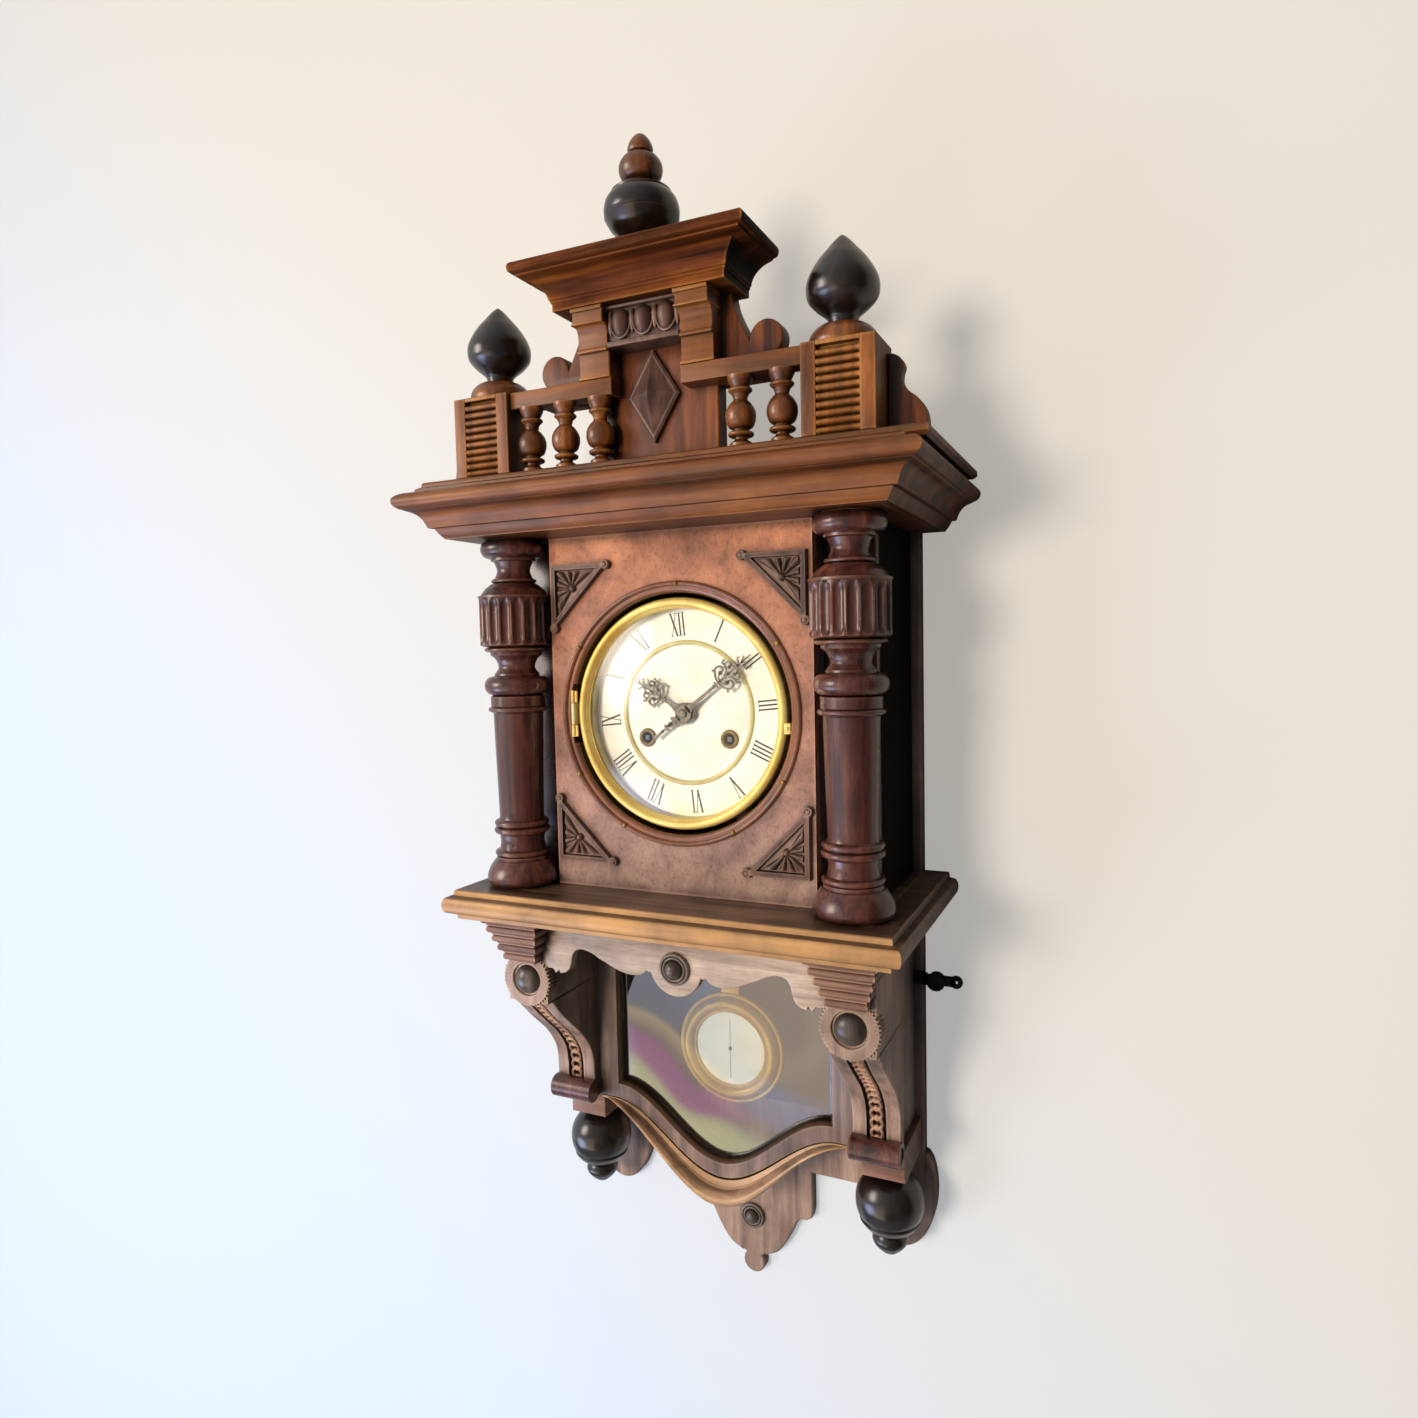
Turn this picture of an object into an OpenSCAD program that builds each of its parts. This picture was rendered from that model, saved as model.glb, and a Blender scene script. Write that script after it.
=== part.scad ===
/* [Case] */
// Width of a column's bay, from the front panel's edge to the case side's outside
bay_w = 37.5; // [35:0.5:45]
// Depth of the case sides in front of the wall
case_d = 113; // [106:1:114]
// Thickness of the case sides
side_t = 10; // [8:0.5:12]
// Thickness of the backboard
back_t = 10; // [8:0.5:12]
// How far the backboard stands out past each case side
back_lip = 7.4; // [4:0.2:10]
// Height between the shelf and the soffit
upper_h = 266; // [256:1:290]
// How far the dial's centre is below the middle of the opening
dial_shift = 0.5; // [0:0.5:6]
// Height of the hanging hole above the soffit
hang_rise = 26.5; // [19:0.5:27]
// Thickness of the soffit board
soffit_t = 8; // [6:0.5:10]
// Thickness of the top board
top_t = 7.3; // [5:0.1:9]
// How far the top board's ends are inside the cornice's rounded edge
top_inset = 2; // [1:0.5:6]
// How far the top board's front is behind the cornice's rounded edge
top_back = 30.4; // [24:0.2:36]

/* [Front panel] */
// Distance from the wall to the front panel's face
panel_d = 136; // [132:0.5:140]
// Width of the front panel between the columns
panel_w = 211; // [204:1:211]
// Thickness of the front panel and of the returns behind the columns
panel_t = 8; // [6:0.5:9]
// Radius of the round opening in the front panel
opening_r = 88; // [87.5:0.1:90]
// Outer radius of the turned ring round the opening
ring_r = 96.7; // [94:0.1:98]
// Leg length of a corner ornament
ornament_leg = 50; // [40:1:54]
// How far an ornament's square corner is from the front panel's edge
ornament_inset = 3.2; // [1:0.1:6]

/* [Cornice and shelf] */
// Height of the cornice moulding
cornice_h = 37.5; // [34:0.5:44]
// How far the cornice stands out past the case side
cornice_out = 51; // [48:0.5:56]
// How far the cornice's lower edge stands out past the case side
cornice_foot = 25; // [23:0.5:28]
// Distance from the wall to the cornice's front
cornice_d = 207; // [204:0.5:212]
// Thickness of the shelf
shelf_t = 22.5; // [18:0.5:26]
// How far the shelf's rounded edge stands out past the case side
shelf_out = 33.5; // [30:0.5:38]
// Distance from the wall to the shelf's rounded edge
shelf_d = 191; // [188:1:198]

/* [Columns] */
// Clearance between a column and the edge of the front panel
column_gap = 0.5; // [0.3:0.1:2]
// Clearance between a column and the return behind it
column_off = 3; // [1:0.1:6]
// Largest radius of a column
column_r = 27.6; // [25:0.1:27.8]
// Number of flutes round a column's vase
flute_count = 18; // [12:1:24]

/* [Crest] */
// Height of the crest posts
post_h = 57.7; // [52:0.5:64]
// Width of a crest post
post_w = 48; // [44:1:49]
// Depth of a crest post
post_deep = 44; // [43.5:0.5:46]
// How far a post's centre line is outside the column's axis
post_out = 2.4; // [0:0.1:6]
// Number of reeds on a post
reed_count = 10; // [6:1:12]
// Width of the crest's middle board
crest_w = 95; // [90:1:96]
// How far the crest board's face is behind the top board's front
crest_back = 21.6; // [18:0.2:24]
// Thickness of the crest board
crest_t = 14; // [10:0.5:14]
// Height of a spindle
spindle_h = 45.7; // [42:0.1:50]
// Thickness of the rail on the spindles
rail_h = 12; // [9:0.5:14]
// Distance between neighbouring spindles
spindle_gap = 28.9; // [24:0.1:29]
// Distance from a post to the axis of the spindle beside it
spindle_in = 15.3; // [12:0.1:17]
// Width of the pediment cap
cap_w = 174; // [168:1:180]
// Height of the pediment cap
cap_h = 29.8; // [26:0.2:32]
// Height of the pilasters above the rail
pilaster_h = 46; // [42:1:52]
// How far the cap's front stands out past the top board's
cap_lead = 26.8; // [24:0.2:30]
// How far the cap's back stands out past the crest board's
cap_lip = 0.9; // [0.5:0.1:3]
// Radius of the centre finial's ball
finial_ball_r = 25.4; // [20:0.2:26]
// Radius of a side finial
onion_r = 23.4; // [20:0.2:24]
// Radius of the domed foot of a side finial
finial_foot_r = 21.4; // [18:0.2:21.6]

/* [Lower case] */
// Distance from the wall to the sash's face
sash_d = 74.8; // [72:0.2:76]
// Thickness of the sash frame
sash_t = 12; // [10:0.5:14]
// Width of a stile of the sash
sash_stile = 40.2; // [36:0.2:46]
// Height of the sash's side above the start of its curved foot
light_h = 153; // [140:1:156]
// Drop of the curved foot of the light
dip = 43.4; // [34:0.2:46]
// Width of the wooden band under the light
sash_band = 12; // [10:0.5:17]
// Height of the moulding under the sash at its middle
base_band = 20; // [16:0.5:24]
// Distance from the wall to the front of the base moulding
base_d = 85; // [80:0.5:86]
// Distance from the wall to the apron's face
apron_d = 147; // [145:0.5:152]
// Thickness of the apron
apron_t = 8; // [6:0.5:10]
// Width of a console
console_w = 36.4; // [34:0.2:38]
// How far a console stands inwards of the column above it
console_in = 2.6; // [0:0.2:3]
// Height of the stepped block above a console
block_h = 39; // [34:0.5:40]
// Radius of a console's round lobe
lobe_r = 21.5; // [20:0.5:24]
// Radius of a ball drop
drop_r = 26.6; // [23:0.2:27]
// Distance from the wall to a ball drop's axis
drop_d = 46; // [44:0.2:52]

/* [Dial] */
// Outer radius of the chapter ring
chapter_r = 79; // [77:0.5:79]
// Radius of the sunk dial centre
centre_r = 51.2; // [46:0.2:54]
// Width of the brass ring between them
dial_ring_w = 2.8; // [2:0.1:4]
// Depth of the dial's face behind the bezel's front
dial_sink = 17.7; // [17:0.1:18]
// Radius of the bezel
bezel_r = 85; // [84:0.1:85]
// Radius of the bezel's clear sight
sight_r = 77; // [75:0.5:77.5]
// How far the bezel's front is behind the front panel's face
bezel_sink = 1; // [1:0.1:2]
// Rise of the domed glass
glass_rise = 11; // [8:0.5:13]
// Thickness of the domed glass
glass_t = 2; // [1.5:0.1:2.4]
// Length of the hour hand
hour_len = 52.9; // [46:0.1:56]
// Length of the minute hand
minute_len = 69.6; // [62:0.1:73]
// Length of the minute hand's tail
tail_len = 31.2; // [20:0.1:33]
// Angle of the hour hand from upright, clockwise
hour_angle = 301; // [0:1:360]
// Angle of the minute hand from upright, clockwise
minute_angle = 52; // [0:1:360]
// Distance from the middle to a winding arbor
wind_x = 34; // [32.5:0.1:34]
// Drop of the winding arbors below the dial's centre
wind_drop = 19; // [18:0.1:20]

/* [Movement] */
// Width of the movement plates
plate_w = 108; // [106:1:116]
// Thickness of the movement plates
plate_t = 2; // [1.5:0.1:2.2]
// Distance from the front plate to the dial pan
dial_feet = 15.3; // [14.8:0.1:15.8]
// Distance from the wall to the back plate's back
back_plate_d = 56; // [55.8:0.1:56]
// Radius of a spring barrel
barrel_r = 26; // [22:0.2:27]
// Height of the pendulum's pivot above the dial's centre
pivot_up = 32; // [31.6:0.1:33]
// Running clearance of an arbor in its bore
run_gap = 0.05; // [0.03:0.01:0.08]

/* [Pendulum] */
// Distance from the pendulum's pivot to the bob's centre
bob_drop = 314.6; // [304:0.2:318]
// Radius of the bob
bob_r = 46.6; // [40:0.2:48]
// Radius of the bob's disc
disc_r = 30.3; // [26:0.1:34]
// Distance from the wall to the pendulum rod's axis
rod_d = 44; // [43:0.1:45]
// Width of the wooden rod
rod_w = 8; // [6:0.2:8.4]

/* [Fittings] */
// Radius of the hanging hole
hang_r = 4.25; // [3.5:0.05:4.8]
// Thickness of the hanging plate
hang_t = 2; // [1.5:0.1:3]
// Drop of the steadying lugs below the dial's centre
lug_drop = 217; // [200:1:240]
// How far a lug's hole is from the backboard's edge
lug_reach = 26; // [24:0.5:30]
// Radius of the screw hole in a lug
lug_hole_r = 1.6; // [1.2:0.05:2.2]

/* [Hidden] */
$fn = 64;

wood = "#7a4630";
dark_wood = "#4a2c22";
black_wood = "#2b1f1b";
brass = "#c9a03c";
steel = "#8d8f92";
ivory = "#efe8d2";
glass_tint = "#cfdde0";

// Heights, with the hanging hole at zero
dial_up = upper_h / 2 - dial_shift;
hang_up = upper_h - dial_up + hang_rise;
dial_z = -hang_up;
shelf_z = dial_z - dial_up;
soffit_z = shelf_z + upper_h;
cornice_top = soffit_z + cornice_h;
crest_z = cornice_top + top_t;
shelf_low = shelf_z - shelf_t;
sash_rail = 12;
light_top = shelf_low - sash_rail;
light_low = light_top - light_h;
side_foot = light_low - sash_band;

// Widths and depths that follow from the front panel, the column and the cornice
case_w = panel_w + 2 * bay_w;
column_x = panel_w / 2 + column_r + column_gap;
column_d = case_d + column_r + column_off;
shelf_w = case_w + 2 * shelf_out;
top_w = case_w + 2 * (cornice_out - top_inset);
top_d = cornice_d - top_back;
post_x = column_x + post_out;
crest_d = top_d - crest_back;
spindle_x = post_x - post_w / 2 - spindle_in;
cap_front = top_d + cap_lead;
cap_back = crest_d - crest_t - cap_lip;
light_w = case_w - 2 * side_t - 2 * sash_stile;
bezel_front = panel_d - bezel_sink;
dial_d = bezel_front - dial_sink;
plate_back = dial_d - 2;
pan_back = plate_back - 2;
front_plate_d = pan_back - dial_feet;

back_w = case_w + 2 * back_lip;
case_x = case_w / 2;
rebate = 6;
cornice_run = cornice_out - cornice_foot;
cornice_core_d = cornice_d - cornice_run;
soffit_x = case_x + cornice_foot - rebate;
soffit_d = cornice_core_d - rebate + 0.2;
return_d = case_d;

// Points along a stretch of an ellipse
function arc(cx, cy, rx, ry, a0, a1, n = 8) =
    [for (i = [0:n]) let(a = a0 + (a1 - a0) * i / n) [cx + rx * cos(a), cy + ry * sin(a)]];

// A rounded bead on a turned profile, from height z0 to z1, standing from r0 out to r1
function bead(z0, z1, r0, r1, n = 8) =
    [for (i = [0:n]) let(a = 180 * i / n)
        [r0 + (r1 - r0) * sin(a), z0 + (z1 - z0) * (1 - cos(a)) / 2]];

// A turned profile scaled to its height: points are [radius, height]
module turned(points, high, nominal) {
    rotate_extrude() polygon(concat(
        [[0, points[0][1] * high / nominal]],
        [for (p = points) [p[0], p[1] * high / nominal]],
        [[0, points[len(points) - 1][1] * high / nominal]]));
}

// An outline from its right half, listed from the bottom up
function two_halves(right) = concat(right, [for (i = [len(right) - 1:-1:0]) [-right[i][0], right[i][1]]]);

// Stands its children up to face the room: x stays, y goes up, z comes off the wall
module facing(distance = 0, deep = 1) {
    rotate([90, 0, 0]) translate([0, 0, distance]) linear_extrude(deep) children();
}

// A turned ring or disc whose axis points off the wall; points are [radius, distance]
module turned_facing(points) {
    rotate([90, 0, 0]) rotate_extrude() polygon(points);
}

module both_sides() {
    children();
    mirror([1, 0, 0]) children();
}

// A board with the same moulded edge on its front and its two ends, open to the wall.
// The edge is a list of [how far out, height]; the reach is measured from half_w and deep.
module moulded_board(edge, half_w, deep) {
    low = edge[0][1];
    high = edge[len(edge) - 1][1];
    intersection() {
        rotate([90, 0, 90]) translate([0, 0, -half_w * 2]) linear_extrude(half_w * 4)
            polygon(concat([[0, low]], [for (p = edge) [-deep - p[0], p[1]]], [[0, high]]));
        rotate([90, 0, 0]) linear_extrude(deep * 2)
            polygon(concat([for (p = edge) [half_w + p[0], p[1]]],
                [for (i = [len(edge) - 1:-1:0]) [-half_w - edge[i][0], edge[i][1]]]));
    }
}

// The case
ear_x = case_x - 13;
back_low = side_foot - 68;
ear_low = back_low + 9;

drop_edge = [[9.5, -85], [21, -79], [26.5, -73], [32, -64.5], [36.5, -55.5], [40.5, -47], [45, -43],
    [52.5, -40.5], [55, -34], [55, 0]];
module backboard_outline() {
    half = back_w / 2;
    meet_a = asin((ear_low - back_low) / 53);
    polygon(two_halves(concat(
        [for (p = drop_edge) [p[0], p[1] + back_low]],
        arc(ear_x, ear_low, 30, 53, 180 + meet_a, 360, 18),
        arc(half, ear_low, 30 + ear_x - half, 30, 0, 90, 8),
        [[half, cornice_top]])));
    translate([0, back_low - 92]) circle(r = 10);
}
module backboard() {
    color(wood) difference() {
        facing(0, back_t) backboard_outline();
        rotate([90, 0, 0]) translate([0, 0, -1]) cylinder(r = hang_r * 2.8, h = back_t - 1.5);
        facing(-1, hang_t + 1) offset_plate(0);
    }
}
module offset_plate(grow) {
    translate([-30 - grow, -9 - grow]) square([60 + 2 * grow, 18 + 2 * grow]);
}
module hanging_plate() {
    color(brass) rotate([90, 0, 0]) difference() {
        linear_extrude(hang_t) offset_plate(0);
        translate([0, 0, -1]) cylinder(r = hang_r, h = hang_t + 2);
        for (s = [-1, 1]) translate([s * 23, 0, -1]) cylinder(r = 1.6, h = hang_t + 2);
    }
}

module case_side() {
    translate([case_x - side_t, -return_d + panel_t, shelf_z])
        cube([side_t, return_d - panel_t - back_t, upper_h]);
}
module case_sides() {
    color(wood) both_sides() case_side();
}
module corner_returns() {
    inner = panel_w / 2 - panel_t;
    color(dark_wood) both_sides() {
        translate([inner, -return_d, shelf_z]) cube([case_x - inner, panel_t, upper_h]);
        translate([inner, -panel_d + panel_t, shelf_z])
            cube([panel_t, panel_d - panel_t - return_d, upper_h]);
    }
}
module soffit_board() {
    color(wood) difference() {
        translate([-soffit_x, -soffit_d, soffit_z]) cube([2 * soffit_x, soffit_d, soffit_t]);
        translate([-back_w / 2, -back_t, soffit_z - 1]) cube([back_w, back_t + 1, soffit_t + 2]);
    }
}
module top_board() {
    color(wood) translate([-top_w / 2, -top_d, cornice_top]) cube([top_w, top_d, top_t]);
}

// The cornice's edge, from its foot up: small hollow, step, large hollow, bold round
cornice_edge = [for (p = concat(
    [[0, 0], [0, 0.06], [0.09, 0.14], [0.18, 0.18], [0.30, 0.2], [0.32, 0.24]],
    arc(0.68, 0.24, 0.36, 0.42, 180, 90, 8),
    arc(0.74, 0.8, 0.26, 0.2, -55, 62, 10),
    [[0.6, 1]])) [p[0] * cornice_run, soffit_z + p[1] * cornice_h]];

module cornice_ring() {
    difference() {
        moulded_board(cornice_edge, case_x + cornice_foot, cornice_core_d);
        translate([-soffit_x, -soffit_d, soffit_z - 1])
            cube([2 * soffit_x, soffit_d + 1, cornice_h + 2]);
    }
}
// Half-space in front of the mitre lines
module mitre_wedge() {
    reach = 400;
    corner = soffit_x;
    translate([0, 0, soffit_z - 1]) linear_extrude(cornice_h + 2) polygon([
        [-corner, -soffit_d], [corner, -soffit_d],
        [corner + reach, -soffit_d - reach], [-corner - reach, -soffit_d - reach]]);
}
module cornice_front() {
    color(wood) intersection() {
        cornice_ring();
        mitre_wedge();
    }
}
module cornice_sides() {
    color(wood) difference() {
        cornice_ring();
        mitre_wedge();
    }
}

// The front
module front_panel() {
    color(wood) difference() {
        translate([-panel_w / 2, -panel_d, shelf_z]) cube([panel_w, panel_t, upper_h]);
        translate([0, 0, dial_z]) rotate([90, 0, 0])
            translate([0, 0, panel_d - panel_t - 1]) cylinder(r = opening_r + 2.5, h = panel_t + 2,
                $fn = 128);
        hinge_notch();
    }
}
hinge_x = bezel_r + 2.7;
hinge_d = bezel_front + 1;
notch_h = 46;
module hinge_notch() {
    translate([-hinge_x - 3.3, -panel_d - 8, dial_z - notch_h / 2]) cube([11, 24, notch_h]);
}
module dial_surround() {
    color(dark_wood) difference() {
        translate([0, 0, dial_z]) turned_facing(concat(
            [[opening_r, panel_d - panel_t], [opening_r + 2.5, panel_d - panel_t],
             [opening_r + 2.5, panel_d], [ring_r, panel_d]],
            bead_across(ring_r, ring_r - 4, panel_d, panel_d + 2.2),
            arc(ring_r - 4, panel_d - 3.2, -(ring_r - 4 - opening_r), 3.8, 90, 0, 6)));
        hinge_notch();
        translate([bezel_r - 2, -panel_d - 8, dial_z - 15]) cube([5.5, 24, 14]);
    }
}
// A bead that runs inwards across a facing ring, rising off its face
function bead_across(r0, r1, face, crown) =
    [for (i = [0:6]) let(a = 180 * i / 6)
        [(r0 + r1) / 2 + (r0 - r1) / 2 * cos(a), face + (crown - face) * sin(a)]];

ornament_z = dial_up - 19.5;
ornament_t = 4;
ornament_x = panel_w / 2 - ornament_inset;
// One triangular carved corner: square corner at the origin, legs along +x and -y
module ornament() {
    leg = ornament_leg;
    rim = 4.5;
    linear_extrude(ornament_t) difference() {
        polygon([[0, 0], [leg, 0], [0, -leg]]);
        polygon([[rim, -rim], [leg - rim * 2.4, -rim], [rim, -leg + rim * 2.4]]);
    }
    linear_extrude(ornament_t * 0.4) polygon([[1, -1], [leg - 3, -1], [1, -leg + 3]]);
    for (p = [[leg, -1.2], [1.2, -leg]]) translate(p) cylinder(r = 3.4, h = ornament_t + 1.2, $fn = 24);
    hub = leg * 0.42;
    intersection() {
        linear_extrude(ornament_t) polygon([[rim, -rim], [leg - rim * 2.2, -rim], [rim,
            -leg + rim * 2.2]]);
        for (i = [0:6]) translate([hub, -hub, 0]) rotate(45 + i * 30)
            linear_extrude(ornament_t * 0.8) polygon([[2, -0.6], [leg, -4.4], [leg, 4.4], [2, 0.6]]);
    }
    translate([hub, -hub, 0]) cylinder(r = 3, h = ornament_t, $fn = 24);
}
module corner_ornaments() {
    color(dark_wood) translate([0, 0, dial_z]) rotate([90, 0, 0]) translate([0, 0, panel_d])
        for (sx = [0, 1]) mirror([sx, 0, 0]) for (sz = [0, 1]) mirror([0, sz, 0])
            translate([-ornament_x, ornament_z, 0]) ornament();
}

// The columns, from the shelf up to the soffit
column_nominal = 266;
vase_low = 186;
vase_high = 222;
vase_r = column_r - 0.6;
column_points = concat(
    [[24, 0]], bead(0, 20, 22, column_r), [[20.3, 20], [20.3, 23]], bead(23, 27, 19.5, 20.8, 4),
    [[17.4, 28], [17.4, 39]], bead(40, 45.4, 19, 21, 5), bead(45.4, 51, 19, 20.7, 5),
    [[17.6, 52], [19, 134]], bead(135, 139, 20, 22.6, 5), [[20.5, 140], [20.5, 147]],
    bead(148, 162, 18, 24.7), [[16.5, 163]], arc(17, 169, 3, 6, 250, 110, 6),
    [[18, 176], [21, 181], [24, 182]], bead(182, 186, 24, 25.6, 4),
    [[vase_r - 2, vase_low], [vase_r, vase_low + 6], [vase_r, vase_high - 2], [vase_r - 1, vase_high]],
    arc(15.5, 222, 9.5, 11, 0, 90, 6), bead(233, 236.5, 14.5, 16, 4),
    arc(15.5, 243.5, 3, 6.5, 250, 110, 6), [[16.5, 250.5], [16.5, 252.4]],
    bead(252.5, 266, 19, 24.3), [[18, 266]]);
module column() {
    k = upper_h / column_nominal;
    difference() {
        turned(column_points, upper_h, column_nominal);
        for (i = [0:flute_count - 1]) rotate(i * 360 / flute_count)
            translate([vase_r + 1.1, 0, (vase_low + 2) * k])
                cylinder(r = 3, h = (vase_high - vase_low - 3) * k, $fn = 16);
    }
}
module columns() {
    color(dark_wood) both_sides() translate([column_x, -column_d, shelf_z]) column();
}

// The shelf's edge, from its underside up: fillet, fillet, bold round, fillet
shelf_edge = [for (p = concat([[-8, 0], [-8, 0.2], [-3, 0.2], [-3, 0.3]],
    arc(-2.5, 0.53, 2.5, 0.24, -90, 90, 8), [[-4, 0.78], [-6, 0.8], [-6, 1]])) [p[0], shelf_low + p[1]
        * shelf_t]];
slot_w = 60;
module shelf() {
    color(wood) difference() {
        moulded_board(shelf_edge, shelf_w / 2, shelf_d);
        translate([-back_w / 2, -back_t, shelf_low - 1]) cube([back_w, back_t + 1, shelf_t + 2]);
        translate([-slot_w / 2, -rod_d - 16, shelf_low - 1]) cube([slot_w, 30, shelf_t + 2]);
    }
}

// The lower case
module lower_sides() {
    color(wood) both_sides() translate([case_x - side_t, -sash_d, side_foot])
        cube([side_t, sash_d - back_t, shelf_low - side_foot]);
}
// The curved foot, a smooth dip of half-width w between two straight ends
function swell(w, low, drop, i, n = 40) = let(x = -w + 2 * w * i / n)
    [x, low - drop * (0.5 + 0.5 * cos(180 * x / w))];
function foot_line(half, low, drop, w, n = 40) =
    concat([[-half, low]], [for (i = [0:n]) swell(w, low, drop, i)], [[half, low]]);
function backwards(list) = [for (i = [len(list) - 1:-1:0]) list[i]];

sash_half = case_x - side_t;
sash_low = light_low - sash_band;
wave = light_w / 2;
module light_shape() {
    polygon(concat([for (i = [0:40]) swell(wave, light_low, dip, i)],
        [[wave, light_top], [-wave, light_top]]));
}
module sash_frame() {
    color(wood) facing(sash_d - sash_t, sash_t) difference() {
        polygon(concat(foot_line(sash_half, sash_low, dip, wave + 6),
            [[sash_half, shelf_low], [-sash_half, shelf_low]]));
        light_shape();
    }
}
glass_back = 4;
module sash_glass() {
    color(glass_tint, 0.4) facing(sash_d - sash_t, glass_back - 1) light_shape();
}
console_x = column_x - console_in;
foot_half = console_x - console_w / 2 - 2;
module base_moulding() {
    low = sash_low - 2;
    color(wood) {
        facing(back_t, sash_d - back_t) polygon(concat(
            foot_line(foot_half, low, dip + base_band - 2, wave + 13),
            backwards(foot_line(foot_half, sash_low, dip, wave + 6))));
        facing(sash_d, base_d - sash_d - 4) crescent(low, dip + 3, dip + base_band - 2);
        facing(base_d - 4, 4) crescent(low, dip + 7, dip + base_band - 5);
    }
}
module crescent(low, high_drop, low_drop) {
    polygon(concat([for (i = [0:40]) swell(wave + 13, low, low_drop, i)],
        [for (i = [39:-1:1]) swell(wave + 13, low, high_drop, i)]));
}

// The apron, its scalloped edge given from the middle outwards for a half-width of 113.6
apron_half = console_x - console_w / 2;
apron_nominal = 113.6;
apron_edge = [[21, 38], [24, 34], [29, 38], [34, 39], [42, 38.5], [50, 36.5], [58, 33], [64, 30.5],
    [70, 27.5], [76, 25.5], [82, 25], [86, 27], [89, 32], [90, 37], [92, 42], [96, 45], [101, 46]];
button_z = shelf_low - 29.5;
module apron() {
    color(wood) facing(apron_d - apron_t, apron_t) {
        polygon(two_halves(concat([for (p = apron_edge) [p[0] * apron_half / apron_nominal,
            shelf_low - p[1]]],
            [[apron_half, shelf_low - 43], [apron_half, shelf_low]])));
        translate([0, button_z]) circle(r = 21);
    }
}
module button(r) {
    rotate([90, 0, 0]) rotate_extrude() polygon(concat([[0, 0], [r, 0], [r, 1.6], [r - 1.6, 3],
        [r - 3.4, 3]],
        [for (i = [0:8]) let(a = 90 * i / 8) [(r - 3.4) * cos(a), 3 + (r * 0.5) * sin(a)]]));
}
module turned_buttons() {
    color(dark_wood) {
        translate([0, -apron_d, button_z]) button(12);
        translate([0, -back_t, back_low - 49]) button(11);
    }
}

// A console: side outline in distance from the wall and height, from its block down to its foot
lobe_z = shelf_low - block_h - 15.5;
lobe_d = apron_d + 2;
roll_r = 9.4;
roll_d = sash_d + 10.7;
roll_z = side_foot + 7.3;
curve_points = [[140, 0.98], [134, 0.91], [126, 0.825], [117, 0.739], [108, 0.659], [99, 0.578],
    [91, 0.483], [86, 0.398], [83.5, 0.303], [83, 0.189], [83.3, 0.05]];
module console_side() {
    lobe_low = lobe_z - lobe_r + 4;
    polygon(concat([[sash_d, shelf_low], [apron_d, shelf_low], [apron_d, lobe_low]],
        [for (p = curve_points) [p[0], side_foot + p[1] * (lobe_low - side_foot)]],
        [[sash_d, side_foot]]));
}
module console() {
    half = console_w / 2;
    translate([console_x - half, 0, 0]) rotate([90, 0, 90]) linear_extrude(console_w)
        mirror([1, 0]) difference() {
            console_side();
            translate([lobe_d - 14, lobe_z]) square([40, lobe_r * 2 - 8], center = true);
        }
    translate([console_x, 0, lobe_z]) rotate([90, 0, 0]) translate([0, 0, lobe_d - 36])
        cylinder(r = lobe_r, h = 36);
    translate([console_x - half - 1, -roll_d, roll_z]) rotate([0, 90, 0])
        cylinder(r = roll_r, h = console_w + 2);
    translate([console_x, -lobe_d, lobe_z]) button(12.5);
}
module consoles() {
    color(wood) both_sides() difference() {
        console();
        translate([console_x - 60, -300, shelf_low - block_h]) cube([120, 300 - apron_d, 200]);
        translate([0, -apron_d, shelf_low - 60]) cube([apron_half, apron_t, 60]);
        translate([console_x - 60, -sash_d, side_foot - 40]) cube([120, 100, 40]);
    }
}
// The stepped block between a console and the shelf, and the foot that carries the ball drop
module console_blocks() {
    steps = 5;
    color(wood) both_sides() translate([console_x, 0, shelf_low]) for (i = [0:steps - 1]) {
        shrink = i * 2.1;
        half = console_w / 2 + 5 - shrink;
        deep = apron_d + 19 - shrink;
        translate([-half, -deep, -(i + 1) * block_h / steps])
            cube([2 * half, deep - apron_d, block_h / steps]);
    }
    console_feet();
}
foot_h = 25.5;
module console_feet() {
    foot = console_w / 2 - 1.2;
    foot_d = sash_d - 8.8;
    color(wood) both_sides() translate([console_x, 0, side_foot])
        translate([-foot, -foot_d, -foot_h]) cube([2 * foot, foot_d - back_t, foot_h]);
}
feet_low = side_foot - foot_h;
drop_nominal = 70;
drop_points = concat([[12, 0], [12, -1.5], [10.4, -3], [12, -4]],
    bead(-4, -50, 10, drop_r, 14), bead(-50.5, -65, 8, 13.6, 8), [[6, -66], [3, -69], [0.5, -70]]);
module ball_drops() {
    color(black_wood) both_sides() translate([console_x, -drop_d, feet_low])
        turned(drop_points, drop_nominal, drop_nominal);
}

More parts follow.
